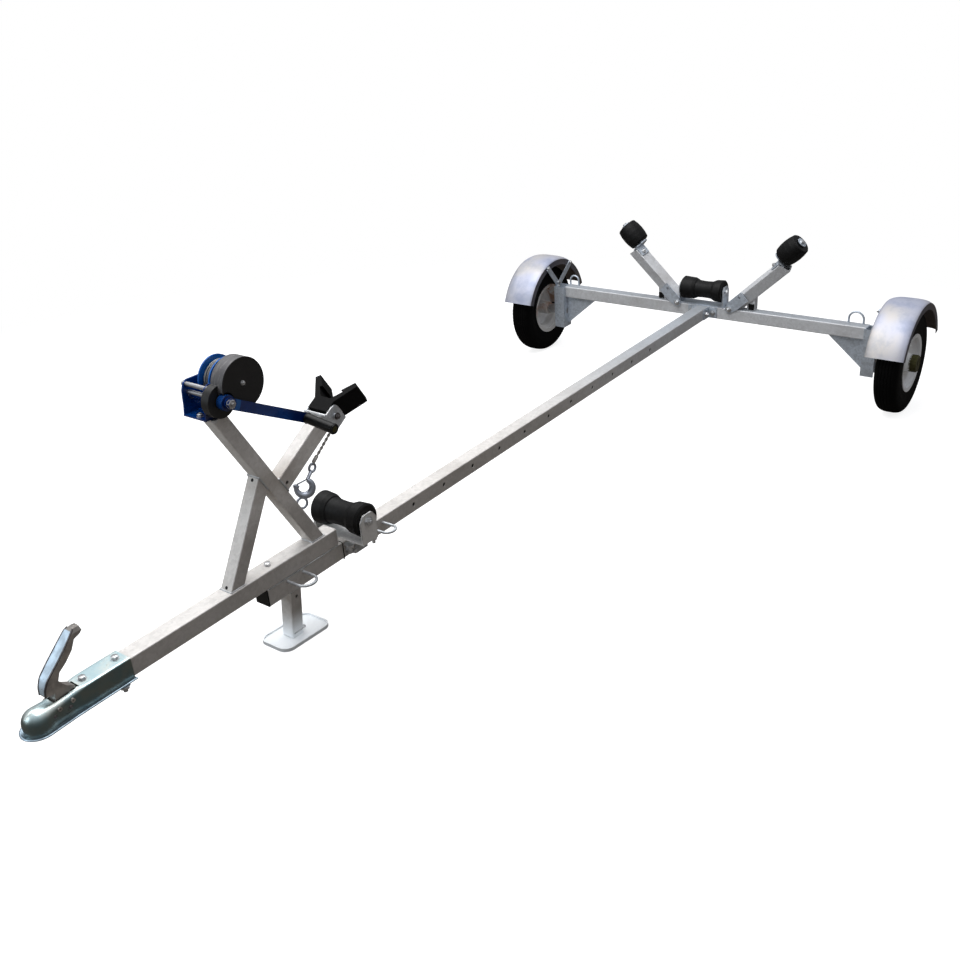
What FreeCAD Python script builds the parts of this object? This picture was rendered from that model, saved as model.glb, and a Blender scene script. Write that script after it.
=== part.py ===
import FreeCAD, Part
import math
import os

# Small boat trailer: galvanised tube frame, winch post, keel and side rollers.
# Millimetres. The frame is drawn level, X forward, Y to the trailer's left, Z up, with
# X = 0 at the wheel axis, and is then leaned nose-down on to its prop stand by parked().

V = FreeCAD.Vector

# ---- driving dimensions -------------------------------------------------------------
PARK = 2.9              # nose-down lean when it stands on its prop, degrees
TYRE_R = 200.0          # 4.00-8 tyre, 400 over the tread
TYRE_W = 93.0
RIM_R = 101.5           # 8 inch bead seat
FLANGE_R = 113.0
TRACK = 1664.0
HALF = TRACK / 2
HUB_R = 29.0
HUB_REACH = (-42.0, 63.0)   # hub's ends from the wheel's middle
S = 50.0                # square tube of spine, drawbar and beam
WALL = 3.0
CORNER = 4.0
REACH = 200.0           # how far a cutting block runs past what it cuts
PLATE = 5.0             # flat plate of brackets and foot
BEAM_Z = 268.0          # underside of beam and spine when level
BEAM_X = -40.0          # rear face of the beam
BEAM_END = HALF - 142.0  # half length, clear of the tyre and its stays
SPINE_X = 2560.0
DRAW_REAR = 2299.0
DRAW_FRONT = 3040.0
DRAW_Z = BEAM_Z + S
TOP_Z = DRAW_Z + S      # top of the drawbar
HOLE_X, HOLE_PITCH, HOLES, HOLE_R = 526.5, 145.4, 11, 6.5
POST = 40.0             # post, brace and stand tube; across the bow-stop arm
ARM = 50.0              # deep side of the bow-stop arm, side arms both ways
VENT_R = 5.0            # drain and vent holes
STUB_R = 12.5
RUN = 0.05              # running clearance, radial
ROLL_R, ROLL_WAIST, ROLL_L, ROLL_PIN = 47.0, 35.0, 168.0, 8.0
ROLL_Z = 382.0          # keel roller axis
FRONT_ROLL_X = 2240.0
REAR_ROLL_X = BEAM_X + S / 2
SIDE_R, SIDE_END_R, SIDE_L, SIDE_PIN = 48.0, 42.5, 92.0, 8.0
ARM_TILT = 43.0         # side arm above horizontal, degrees
ARM_TWIST = 18.0        # its section turned about its own length
GUARD_GAP = 47.0        # from the tread to the top of the guard
GUARD_R, GUARD_T, GUARD_LIP = TYRE_R + GUARD_GAP, 2.0, 24.0
GUARD_Y0, GUARD_Y1 = HALF - 80.0, HALF + 66.0
GUARD_CROWN = 11.0      # the shoulders lie this much lower than the middle
GUARD_C = (-12.7, TYRE_R - 7.0)
GUARD_A = (20.5, 163.0)
WINCH_Z = 815.0         # top of the winch post
WINCH = (2548.0, WINCH_Z + 71.0)   # drum axis X, Z
PINION = (2605.0, WINCH_Z + 44.0)

parts = {}


def vec(p):
    return V(*p)


def box(x0, x1, y0, y1, z0, z1):
    return Part.makeBox(x1 - x0, y1 - y0, z1 - z0, V(x0, y0, z0))


def rod(p0, p1, r):
    a, b = vec(p0), vec(p1)
    return Part.makeCylinder(r, (b - a).Length, a, b - a)


def fuse(*s):
    out = s[0]
    for k in s[1:]:
        out = out.fuse(k)
    return out.removeSplitter()


def prism(points, axis, lo, hi):
    """Closed outline of (a, b) pairs drawn across one axis: Y takes (x, z), X takes (y, z),
    Z takes (x, y)."""
    at = {"X": lambda a, b: V(lo, a, b), "Y": lambda a, b: V(a, lo, b), "Z": lambda a, b: V(a, b, lo)}
    way = {"X": V(1, 0, 0), "Y": V(0, 1, 0), "Z": V(0, 0, 1)}[axis]
    p = [at[axis](a, b) for a, b in points]
    return Part.Face(Part.makePolygon(p + [p[0]])).extrude(way * (hi - lo))


def tube(p0, p1, up, a, b, wall=WALL, solid=False):
    """Rectangular tube from p0 to p1; a along `up`, b across it."""
    o, u = vec(p0), vec(p1) - vec(p0)
    n = u.Length
    u.normalize()
    w = vec(up)
    w = w - u * w.dot(u)
    w.normalize()
    v = w.cross(u)

    def bar(aa, bb, r):
        s = Part.makeBox(n, bb, aa, V(0, -bb / 2, -aa / 2))
        long = [e for e in s.Edges if abs(e.Length - n) < 1e-6 and abs(e.tangentAt(0).x) > 0.9]
        return s.makeFillet(r, long[:4])

    s = bar(a, b, CORNER)
    if not solid:
        s = s.cut(bar(a - 2 * wall, b - 2 * wall, max(CORNER - wall, 0.8)))
    m = FreeCAD.Matrix(u.x, v.x, w.x, o.x, u.y, v.y, w.y, o.y, u.z, v.z, w.z, o.z, 0, 0, 0, 1)
    s.Placement = FreeCAD.Placement(m)
    return s


def revolve_y(profile, x, z, y=0.0, turn=360):
    """Profile of (y, r) pairs turned about the Y-parallel line through x, z."""
    p = [V(x + r, y + t, z) for t, r in profile]
    f = Part.Face(Part.makePolygon(p + [p[0]]))
    return f.revolve(V(x, y, z), V(0, 1, 0), turn)


def mirror(s):
    return s.mirror(V(0, 0, 0), V(0, 1, 0))


def pair(s):
    return Part.makeCompound([s, mirror(s)])


def parked_point(x, y, z):
    a = math.radians(PARK)
    dx, dz = x, z - TYRE_R
    return (dx * math.cos(a) + dz * math.sin(a), y, TYRE_R - dx * math.sin(a) + dz * math.cos(a))


def parked(s):
    s = s.copy()
    s.rotate(V(0, 0, TYRE_R), V(0, 1, 0), PARK)
    return s


# ---- frame --------------------------------------------------------------------------
beam_mid = (BEAM_X + S / 2, BEAM_Z + S / 2)
parts["axle_beam"] = tube((beam_mid[0], -BEAM_END, beam_mid[1]), (beam_mid[0], BEAM_END, beam_mid[1]),
                          (0, 0, 1), S, S)
spine = tube((BEAM_X + S, 0, BEAM_Z + S / 2), (SPINE_X, 0, BEAM_Z + S / 2), (0, 0, 1), S, S)
for i in range(HOLES):
    x = HOLE_X + i * HOLE_PITCH
    spine = spine.cut(rod((x, -S, BEAM_Z + S / 2), (x, S, BEAM_Z + S / 2), HOLE_R))
parts["spine_tube"] = spine
parts["drawbar_tube"] = tube((DRAW_REAR, 0, DRAW_Z + S / 2), (DRAW_FRONT, 0, DRAW_Z + S / 2),
                             (0, 0, 1), S, S)

# angle brackets that bolt the spine to the beam, one on each side of the spine
A0 = S / 2
angle = fuse(box(BEAM_X + S, BEAM_X + S + 50, A0, A0 + 5, BEAM_Z + 3, BEAM_Z + S - 3),
             box(BEAM_X + S, BEAM_X + S + 5, A0, A0 + 40, BEAM_Z + 3, BEAM_Z + S - 3))
parts["spine_angles"] = pair(angle)

# ---- prop stand: raked leg and flat foot under the spine, drawn as parked ---------------
LEG_X = 2466.0
LEG_RAKE = 11.0          # the leg's foot is this much further forward than its top
leg_top = parked_point(LEG_X, 0, BEAM_Z)
FOOT_L, FOOT_W, FOOT_ROUND, FOOT_RIM = 172.0, 108.0, 28.0, 5.0
foot_x = leg_top[0] + 2.0
leg_up = (-LEG_RAKE, 0, leg_top[2] - PLATE)
leg = tube((leg_top[0] + LEG_RAKE, 0, PLATE),
           (leg_top[0] - LEG_RAKE * 0.15, 0, PLATE + leg_up[2] * 1.15), (1, 0, 0), POST, POST)
leg = leg.common(box(leg_top[0] - 60, leg_top[0] + 60, -60, 60, PLATE, TOP_Z))
leg = leg.cut(parked(box(LEG_X - REACH, LEG_X + REACH, -REACH, REACH, BEAM_Z, BEAM_Z + REACH)))
leg = leg.cut(rod((leg_top[0], 0, leg_top[2] - 22), (leg_top[0], POST, leg_top[2] - 22), VENT_R))


def rounded(x, length, width, z0, z1, r):
    """Upright block with rounded plan corners, centred on x."""
    s = box(x - length / 2, x + length / 2, -width / 2, width / 2, z0, z1)
    return s.makeFillet(r, [e for e in s.Edges if abs(e.tangentAt(0).z) > 0.9])


foot = rounded(foot_x, FOOT_L, FOOT_W, 0, PLATE + FOOT_RIM, FOOT_ROUND)
foot = foot.cut(rounded(foot_x, FOOT_L - 2 * FOOT_RIM, FOOT_W - 2 * FOOT_RIM, PLATE, PLATE + 2 * FOOT_RIM,
                        FOOT_ROUND - FOOT_RIM))
STAND = fuse(leg, foot)

# ---- axle ends ------------------------------------------------------------------------
CH_Y0, CH_D, CH_T, CH_W = BEAM_END, 50.0, 5.0, 60.0
CH_BOTTOM = TYRE_R - 74.0
channel = box(-CH_W / 2, CH_W / 2, CH_Y0, CH_Y0 + CH_D, CH_BOTTOM, BEAM_Z + S)
channel = channel.cut(box(-CH_W / 2 + CH_T, CH_W / 2 - CH_T, CH_Y0 + CH_T, CH_Y0 + CH_D + 1,
                          CH_BOTTOM - 1, BEAM_Z + S + 1))
GUSSET_IN, GUSSET_LOW = BEAM_END - 145.0, CH_BOTTOM + 16.0
gusset = prism([(GUSSET_IN, BEAM_Z), (CH_Y0, BEAM_Z), (CH_Y0, GUSSET_LOW), (CH_Y0 - 4, GUSSET_LOW),
                (GUSSET_IN, BEAM_Z - 6)], "X", -8.0, -3.0)
channel = fuse(channel, gusset)
stub_hole = rod((0, CH_Y0 - 1, TYRE_R), (0, CH_Y0 + CH_T + 1, TYRE_R), STUB_R)
channel = channel.cut(stub_hole)
parts["drop_brackets"] = pair(channel)
HUB_Y0, HUB_Y1 = HALF + HUB_REACH[0], HALF + HUB_REACH[1]
stub = fuse(rod((0, CH_Y0, TYRE_R), (0, HUB_Y1 - 10, TYRE_R), STUB_R),
            rod((0, CH_Y0 + CH_T, TYRE_R), (0, HUB_Y0 - 3, TYRE_R), 19.0))
parts["stub_axles"] = pair(stub)

# ---- wheels: tyre section, dished rim with hub ------------------------------------------
h = TYRE_W / 2
tyre_profile = [(-38, RIM_R), (-40, FLANGE_R + 1), (3 - h, FLANGE_R + 22), (-h, 160), (1.5 - h, 178),
                (-38, 191), (-25, 198), (-12, TYRE_R), (12, TYRE_R), (25, 198), (38, 191), (h - 1.5, 178),
                (h, 160), (h - 3, FLANGE_R + 22), (40, FLANGE_R + 1), (38, RIM_R), (34, RIM_R),
                (34, RIM_R + 20), (37, 160), (30, 180), (-30, 180), (-37, 160), (-34, RIM_R + 20),
                (-34, RIM_R)]
tyre = revolve_y(tyre_profile, 0, TYRE_R, HALF)
rim_profile = [(-44, FLANGE_R), (-40.5, FLANGE_R), (-40.5, RIM_R - 0.2), (-24, RIM_R - 0.2),
               (-18, RIM_R - 14), (18, RIM_R - 14), (24, RIM_R - 0.2), (40.5, RIM_R - 0.2),
               (40.5, FLANGE_R), (44, FLANGE_R), (41.5, RIM_R - 3), (27, RIM_R - 3),
               (21, RIM_R - 17), (20, 80), (26, 62), (22, 40), (22, 36), (HUB_Y1 - HALF, HUB_R),
               (HUB_Y1 - HALF, 10), (HUB_Y1 - HALF - 4, 10), (HUB_Y1 - HALF - 4, STUB_R + 6),
               (HUB_Y1 - HALF - 8, STUB_R + RUN), (HUB_Y0 - HALF, STUB_R + RUN), (HUB_Y0 - HALF, HUB_R),
               (10, HUB_R), (18, 40), (22, 62), (16, 80), (15, RIM_R - 17), (-21, RIM_R - 17),
               (-27, RIM_R - 3), (-41.5, RIM_R - 3)]
rim_l = revolve_y(rim_profile, 0, TYRE_R, HALF)
parts["tyre_left"], parts["rim_left"] = tyre, rim_l
parts["tyre_right"], parts["rim_right"] = mirror(tyre), mirror(rim_l)

# ---- mudguards: half-round, crowned, side edges turned down ------------------------------


def guard():
    gx, gz = GUARD_C
    t, y0, y1, r = GUARD_T, GUARD_Y0, GUARD_Y1, GUARD_R
    mid, w = (y0 + y1) / 2, (y1 - y0) / 2
    # share of the half width, and how far the crown has dropped there (fourth-power curve)
    drops = [(k, GUARD_CROWN * abs(k) ** 4) for k in (-1.0, -0.9, -0.75, -0.5, 0.0, 0.5, 0.75, 0.9, 1.0)]
    outer = [(y0, r - GUARD_LIP)] + [(mid + k * w, r - d) for k, d in drops] + [(y1, r - GUARD_LIP)]
    inner = [(y1 - t, r - GUARD_LIP)]
    inner += [(mid + k * (w - t), r - t - d) for k, d in reversed(drops)] + [(y0 + t, r - GUARD_LIP)]
    a0, a1 = GUARD_A
    p = [V(gx + q, y, gz) for y, q in outer + inner]
    f = Part.Face(Part.makePolygon(p + [p[0]]))
    f.rotate(V(gx, 0, gz), V(0, 1, 0), -a0)
    return f.revolve(V(gx, 0, gz), V(0, 1, 0), -(a1 - a0))


g = guard()
parts["mudguard_left"], parts["mudguard_right"] = g, mirror(g)


def strap(p0, p1, w, y0, y1):
    """Flat bar between two (x, z) points, w wide, lying in the XZ plane."""
    (x0, z0), (x1, z1) = p0, p1
    n = math.hypot(x1 - x0, z1 - z0)
    dx, dz = -(z1 - z0) / n * w / 2, (x1 - x0) / n * w / 2
    return prism([(x0 + dx, z0 + dz), (x1 + dx, z1 + dz), (x1 - dx, z1 - dz), (x0 - dx, z0 - dz)],
                 "Y", y0, y1)


STAY_FOOT = (-22.0, BEAM_Z + S - 6)
STAY_T, STAY_GAP = 4.0, 1.5
stay_y = (GUARD_Y0 - STAY_GAP - STAY_T, GUARD_Y0 - STAY_GAP)
tips = []
for ang in (71.2, 119.9):
    a = math.radians(ang)
    lip_r = GUARD_R - GUARD_LIP + 6
    tips.append((GUARD_C[0] + lip_r * math.cos(a), GUARD_C[1] + lip_r * math.sin(a)))
foot_z = STAY_FOOT[1] - 24
stay = fuse(*[strap(STAY_FOOT, tip, 24, *stay_y) for tip in tips],
            *[rod((tip[0], stay_y[0], tip[1]), (tip[0], GUARD_Y0, tip[1]), 6) for tip in tips],
            box(-48, 4, stay_y[0], stay_y[1], foot_z, STAY_FOOT[1] + 8),
            box(-34, -8, CH_Y0 + CH_D, stay_y[1], foot_z, foot_z + PLATE))
parts["guard_stays"] = pair(stay)

# ---- coupling ---------------------------------------------------------------------------
C_REAR, C_NOSE, C_LOW, C_TOP = 2973.0, 3198.0, 322.0, 372.0
C_STEP = 3097.0                          # rear box ends, narrower front begins
C_HALF, C_NARROW, DOME_R, C_WALL = 29.0, 27.0, 33.5, 4.0
BALL_R = 25.8                            # socket for the 50 mm ball
PIVOTS = [(C_STEP + 28.0, C_TOP - 15.0), (C_STEP + 60.5, C_TOP - 17.0)]   # lever pivot, clamp rivet
SLOT_HALF, SLOT_X = 17.0, (C_STEP - 2.0, C_STEP + 63.0)   # the lever's slot in the top
WELL_END = C_NOSE - 31.5                 # the hollow stops in the metal behind the ball socket
LEVER_HALF = 12.0


def planform(half, nose, z0, z1):
    """Straight-sided plan with a round nose of radius `nose` centred on C_NOSE."""
    x1 = C_NOSE - 70
    p = [V(C_NOSE, -nose, z0), V(x1, -half, z0), V(C_REAR, -half, z0), V(C_REAR, half, z0),
         V(x1, half, z0), V(C_NOSE, nose, z0)]
    edges = [Part.makeLine(a, b) for a, b in zip(p, p[1:])]
    edges.append(Part.Arc(p[-1], V(C_NOSE + nose, 0, z0), p[0]).toShape())
    return Part.Face(Part.Wire(edges)).extrude(V(0, 0, z1 - z0))


def soft_top(s, z, r):
    """Round the long top edges."""
    top = [e for e in s.Edges if all(abs(v.Z - z) < 1e-6 for v in e.Vertexes)]
    return s.makeFillet(r, [e for e in top if abs(e.tangentAt(0).x) > 0.9])


rear_box = soft_top(box(C_REAR, C_STEP, -C_HALF, C_HALF, C_LOW, C_TOP), C_TOP, 5)
neck = soft_top(box(C_STEP - 5, C_NOSE, -C_NARROW, C_NARROW, C_LOW, C_TOP - 1), C_TOP - 1, 12)
dome_z = C_TOP - DOME_R
dome = Part.makeSphere(DOME_R, V(C_NOSE, 0, dome_z))
dome = dome.common(box(C_REAR, C_NOSE + 60, -60, 60, C_LOW, C_TOP + 5))
dome = dome.fuse(rod((C_NOSE, 0, C_LOW), (C_NOSE, 0, dome_z), DOME_R))
shell = fuse(rear_box, neck, dome, planform(37, 40, C_LOW - PLATE + 1, C_LOW))
inside = S / 2 + 0.2
shell = shell.cut(box(C_REAR - 1, DRAW_FRONT + 8, -inside, inside, C_LOW - 6, TOP_Z))
well = C_NARROW - C_WALL
shell = shell.cut(box(C_REAR, WELL_END, -well, well, C_LOW - 6, C_TOP - C_WALL))
shell = shell.cut(box(*SLOT_X, -SLOT_HALF, SLOT_HALF, C_LOW, C_TOP + 2))
shell = shell.cut(rod((C_NOSE, 0, C_LOW - 6), (C_NOSE, 0, dome_z), BALL_R))
shell = shell.cut(Part.makeSphere(BALL_R, V(C_NOSE, 0, dome_z)))
rivets = [rod((x, -C_NARROW - 3, z), (x, C_NARROW + 3, z), 5) for x, z in PIVOTS]
parts["coupling_body"] = shell.cut(Part.makeCompound(rivets))
# side view, from its pivot forward and up
lever = [(47, 30), (45, 47), (35, 67), (-19, 116), (-48, 145), (-58, 151), (-68, 147), (-70, 135), (-63, 129),
         (-48, 124), (-37, 103), (-17, 83), (3, 69), (11, 51), (-3, 31), (-21, 20), (-21, -8), (33, -8), (25, 29)]
lever = [(PIVOTS[0][0] + dx, PIVOTS[0][1] + dz) for dx, dz in lever]
lever = prism(lever, "Y", -LEVER_HALF, LEVER_HALF)
# seen from the front its top end is rounded
front_view = [(-LEVER_HALF, -17), (LEVER_HALF, -17), (LEVER_HALF, 137), (8, 146), (3, 151), (-3, 151),
              (-8, 146), (-LEVER_HALF, 137)]
front_view = [(y, PIVOTS[0][1] + dz) for y, dz in front_view]
lever = lever.common(prism(front_view, "X", C_REAR, C_NOSE))
parts["coupling_lever"] = fuse(lever, *rivets)

# ---- winch post, brace and bow-stop arm ---------------------------------------------------
def across(angle):
    """Unit vector along a bar in the side plane, leaning forward from level by `angle`."""
    a = math.radians(angle)
    return math.cos(a), 0, math.sin(a)


post_u = across(61.6)
POST_FOOT = (2361.5, TOP_Z)              # centre line where it meets the drawbar


def on_post(s):
    """Point on the post's centre line, s from the foot."""
    return POST_FOOT[0] + s * post_u[0], 0, POST_FOOT[1] + s * post_u[2]


SIDE_PLANE = box(DRAW_REAR, DRAW_FRONT, -60, 60, TOP_Z, WINCH_Z)   # between drawbar and winch base
POST_LEN = (WINCH_Z - TOP_Z) / post_u[2]
OVER = 60.0                              # drawn this much too long, then cut level
post_ends = on_post(-OVER), on_post(POST_LEN + OVER)
parts["winch_post"] = tube(*post_ends, (1, 0, 0), POST, POST).common(SIDE_PLANE)
solid_post = tube(*post_ends, (1, 0, 0), POST, POST, solid=True)
JOIN = on_post(286.0)                    # where the brace meets the post
brace_u = across(-59.7)
brace_len = (JOIN[2] - TOP_Z) / -brace_u[2] + OVER
brace_low = (JOIN[0] + brace_len * brace_u[0], 0, JOIN[2] + brace_len * brace_u[2])
brace = tube(JOIN, brace_low, (1, 0, 0), POST, POST).common(SIDE_PLANE).cut(solid_post)
parts["post_brace"] = max(brace.Solids, key=lambda k: k.Volume)
arm_u = across(180 - 31.6)
arm_n = (arm_u[2], 0, -arm_u[0])
ARM_FOOT = on_post(214.0)
ARM_L = 221.0


def on_arm(s, n=0.0, y=0.0):
    """s along the bow-stop arm from the post's centre line, n to its upper face's side."""
    return ARM_FOOT[0] + s * arm_u[0] + n * arm_n[0], y, ARM_FOOT[2] + s * arm_u[2] + n * arm_n[2]


arm = tube(on_arm(0), on_arm(ARM_L), arm_n, ARM, POST).cut(solid_post)
arm = max(arm.Solids, key=lambda k: k.Volume)
arm = arm.cut(rod(on_arm(ARM_L - 9, 0), on_arm(ARM_L - 9, ARM), VENT_R))
arm = arm.cut(rod(on_arm(31, -4), on_arm(31, -4, POST), VENT_R))
parts["bow_stop_arm"] = arm


def arm_box(s0, s1, y0, y1, n0, n1):
    """Block given along the arm, across it, and above its centre line."""
    s = Part.makeBox(s1 - s0, y1 - y0, n1 - n0)
    a, o = arm_u, on_arm(s0, n0)
    m = FreeCAD.Matrix(a[0], 0, arm_n[0], o[0], 0, -1, 0, y1, a[2], 0, arm_n[2], o[2], 0, 0, 0, 1)
    s.Placement = FreeCAD.Placement(m)
    return s


def arm_outline(points, n0, n1):
    """Closed outline of (s, y) pairs in the arm's plan, thickened from n0 to n1."""
    line = Part.makePolygon([vec(on_arm(s, n0, y)) for s, y in points + points[:1]])
    return Part.Face(line).extrude(vec(arm_n) * (n1 - n0))


# bracket: web across the arm's end and two ears that hold the rubber; cable hole in the web
EAR, EAR_T, WEB, WEB_HALF, EAR_END = 38.0, 4.0, 5.0, 33.0, 47.0
EAR_BOLT = (ARM_L + 25, 2.0)             # along the arm, above its centre line
CAB = 2.6                                # wire rope radius
DRUM_PACK = 46.0                         # radius of the rope wound on the drum
CABLE_Y = (-10.0, -30.0)                 # at the drum, at the bow stop
cable_in = on_arm(ARM_L + 9.5, -2, CABLE_Y[1])
run = math.hypot(WINCH[0] - cable_in[0], WINCH[1] - cable_in[2])
reach = DRUM_PACK + CAB + 0.4
lean = math.atan2(WINCH[1] - cable_in[2], WINCH[0] - cable_in[0]) - math.asin(reach / run)
cable_off = (WINCH[0] + reach * math.sin(lean), CABLE_Y[0], WINCH[1] - reach * math.cos(lean))
web = arm_box(ARM_L, ARM_L + WEB, -EAR, EAR, -WEB_HALF, WEB_HALF).cut(rod(cable_off, cable_in, CAB + 2))
bracket = [web, rod(on_arm(*EAR_BOLT, -EAR - 6), on_arm(*EAR_BOLT, EAR + 6), 6.0)]
for y0 in (-EAR, EAR - EAR_T):
    ear = fuse(arm_box(ARM_L, ARM_L + EAR_END - 14, y0, y0 + EAR_T, -WEB_HALF, WEB_HALF - 5),
               arm_box(ARM_L, ARM_L + EAR_END, y0, y0 + EAR_T, -WEB_HALF, WEB_HALF - 19),
               rod(on_arm(ARM_L + EAR_END - 14, WEB_HALF - 19, y0),
                   on_arm(ARM_L + EAR_END - 14, WEB_HALF - 19, y0 + EAR_T), 14))
    bracket.append(ear)
parts["bow_stop_bracket"] = fuse(*bracket)
# rubber: block between the ears, two arms spreading to a V, a barb inside each arm
IN = EAR - EAR_T - 0.5
half_v = [(15, 0), (15, IN), (48, IN), (107, 74), (117, 62), (86, 33), (82, 41), (55, 17), (55, 0)]
sides = [arm_outline([(ARM_L + s, side * y) for s, y in half_v], -31, 31) for side in (-1, 1)]
rubber = fuse(*sides)
parts["bow_stop_rubber"] = rubber.cut(rod(on_arm(*EAR_BOLT, -60), on_arm(*EAR_BOLT, 60), 6.0))

# ---- winch ----------------------------------------------------------------------------------
WX, WZ = WINCH
PX, PZ = PINION
FAR, NEAR, CHEEK = -60.0, 14.0, 4.0      # outer face of the far cheek, inner of the near one
BASE_X = (2540.0, 2638.0)
# outline from above the base, height over it
cheek = [(BASE_X[0], 0), (BASE_X[1], 0), (2634, 26), (2633, 43), (2631, 62), (2624.5, 77), (2614, 83.6),
         (2573, 83), (2520, 85), (2500, 71), (2504, 51)]
cheek = [(x, WINCH_Z + up) for x, up in cheek]
frame_w = fuse(prism(cheek, "Y", FAR, FAR + CHEEK), prism(cheek, "Y", NEAR, NEAR + CHEEK),
               box(BASE_X[0], BASE_X[1], FAR, NEAR + CHEEK, WINCH_Z, WINCH_Z + CHEEK))
DRUM_SHAFT, PINION_SHAFT, BUSH = 5.0, 7.0, 4.0
axles = [((WX, WZ), DRUM_SHAFT), ((PX, PZ), PINION_SHAFT)]
RODS, ROD_R = [(PX + 12.0, PZ + 30.0), (PX + 10.0, PZ + 10.0)], 5.5
holes = [((ax, az), r + BUSH) for (ax, az), r in axles] + [(at, ROD_R) for at in RODS]
for (ax, az), r in holes:
    frame_w = frame_w.cut(rod((ax, FAR - 2, az), (ax, NEAR + 6, az), r))
parts["winch_frame"] = frame_w
tie_rods = Part.makeCompound([rod((ax, FAR - 4, az), (ax, NEAR + 7, az), ROD_R) for ax, az in RODS])
parts["winch_tie_rods"] = tie_rods
bush = [rod((ax, yy, az), (ax, yy + CHEEK, az), r + BUSH)
        .cut(rod((ax, yy - 1, az), (ax, yy + CHEEK + 1, az), r + RUN)).cut(tie_rods)
        for (ax, az), r in axles for yy in (FAR, NEAR)]
parts["winch_bushes"] = Part.makeCompound(bush)
DRUM_R, DRUM_FLANGE, CORE = 54.5, (-32.0, 9.0), 18.0
GEAR_R, GEAR_Y = 48.0, (25.0, 33.0)
drum_profile = [(FAR - 3, 0), (FAR - 3, DRUM_SHAFT), (DRUM_FLANGE[0], DRUM_SHAFT), (DRUM_FLANGE[0], DRUM_R),
                (DRUM_FLANGE[0] + 4, DRUM_R), (DRUM_FLANGE[0] + 4, CORE), (DRUM_FLANGE[1] - 4, CORE),
                (DRUM_FLANGE[1] - 4, DRUM_R), (DRUM_FLANGE[1], DRUM_R), (DRUM_FLANGE[1], DRUM_SHAFT),
                (GEAR_Y[0], DRUM_SHAFT), (GEAR_Y[0], GEAR_R), (GEAR_Y[1], GEAR_R), (GEAR_Y[1], 0)]
parts["winch_drum"] = revolve_y(drum_profile, WX, WZ)
pack0, pack1 = DRUM_FLANGE[0] + 4.4, DRUM_FLANGE[1] - 4.4
cable_profile = [(pack0, CORE), (pack0, DRUM_PACK - 4), (pack0 + 6, DRUM_PACK), (pack1 - 6, DRUM_PACK),
                 (pack1, DRUM_PACK - 4), (pack1, CORE)]
parts["drum_cable"] = revolve_y(cable_profile, WX, WZ)
COVER, COVER_R, LOBE_R, LOBE_FRONT, COVER_T = (22.0, 62.0), 62.0, 40.0, 46.0, 3.0
BOSS_R, BOSS_GAP = 19.0, 5.0


def cover_body(wall):
    """Gear cover as a solid, shrunk by `wall`, with the crank boss's recess left out of its disc."""
    back = COVER[0] - (1 if wall else 0)
    disc = rod((WX, back, WZ), (WX, COVER[1] - wall, WZ), COVER_R - wall)
    lobe = rod((PX, back, PZ), (PX, LOBE_FRONT - wall, PZ), LOBE_R - wall)
    recess = rod((PX, LOBE_FRONT - wall, PZ), (PX, COVER[1] + 1, PZ), BOSS_R + BOSS_GAP + wall)
    return disc.cut(recess).fuse(lobe)


lug_z = WZ - COVER_R
lug = box(WX - 8, WX + 8, NEAR + CHEEK, COVER[0] + 4, lug_z + 0.5, lug_z + 8)
shaft_hole = rod((PX, COVER[0], PZ), (PX, LOBE_FRONT + 1, PZ), PINION_SHAFT + BOSS_GAP)
parts["gear_cover"] = fuse(cover_body(0.0).cut(cover_body(COVER_T)).cut(shaft_hole), lug)
BAR, BAR_T, CR_Y = 26.0, 6.0, COVER[1] + 5
NUT_R, NUT_L = 11.0, 14.0
crank_end = (PX - 219.0, PZ - 120.0)
shaft = revolve_y([(FAR - 3, 0), (FAR - 3, PINION_SHAFT), (GEAR_Y[0] - 2, PINION_SHAFT), (GEAR_Y[0] - 2, 14),
                   (GEAR_Y[1] + 1, 14), (GEAR_Y[1] + 1, PINION_SHAFT), (LOBE_FRONT + 3, PINION_SHAFT),
                   (LOBE_FRONT + 3, BOSS_R), (CR_Y, BOSS_R), (CR_Y, NUT_R), (CR_Y + NUT_L, NUT_R),
                   (CR_Y + NUT_L, 0)], PX, PZ)
bar = strap((PX, PZ), crank_end, BAR, CR_Y, CR_Y + BAR_T)
ends = [rod((x, CR_Y, z), (x, CR_Y + BAR_T, z), BAR / 2) for x, z in ((PX, PZ), crank_end)]
GRIP_R, GRIP_PIN, GRIP_DROP, GRIP_L = 13.0, 5.0, 12.0, 92.0
pin0 = (crank_end[0], CR_Y + BAR_T, crank_end[1])
pin1 = (crank_end[0] - 1, CR_Y + BAR_T + GRIP_L + 2, crank_end[1] - GRIP_DROP)
parts["winch_crank"] = fuse(shaft, bar, *ends, rod(pin0, pin1, GRIP_PIN))
grip0 = (pin0[0], pin0[1] + 3, pin0[2])
parts["crank_grip"] = rod(grip0, pin1, GRIP_R).cut(rod(pin0, pin1, GRIP_PIN))

# ---- cable from drum to bow stop, snap hook on its eye --------------------------------------
turn_down = on_arm(ARM_L + 9.5, -38, 14)
ferrule = on_arm(124, -54, 8)
corners = [cable_off, cable_in, turn_down, ferrule]
cable = [rod(a, b, CAB) for a, b in zip(corners, corners[1:])]
cable += [Part.makeSphere(CAB, vec(c)) for c in corners[1:3]]
RING_R, RING_ROD = 11.0, 3.0
ring_c = on_arm(114, -61.5, 8)
along = vec(ferrule) - vec(ring_c)
cable.append(rod(ferrule, tuple(vec(ring_c) + along * ((RING_R - RING_ROD) / along.Length)), 5.0))
HOOK_C, HOOK_R, HOOK_ROD = (2377.0, 15.0, 527.5), 21.5, 6.5
HOOK_WAY = (0.55, 0.8, 0.2)              # square to the hook's own plane


def ring_xz(c, big, small, way=(0, 1, 0)):
    return Part.makeTorus(big, small, vec(c), vec(way))


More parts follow.
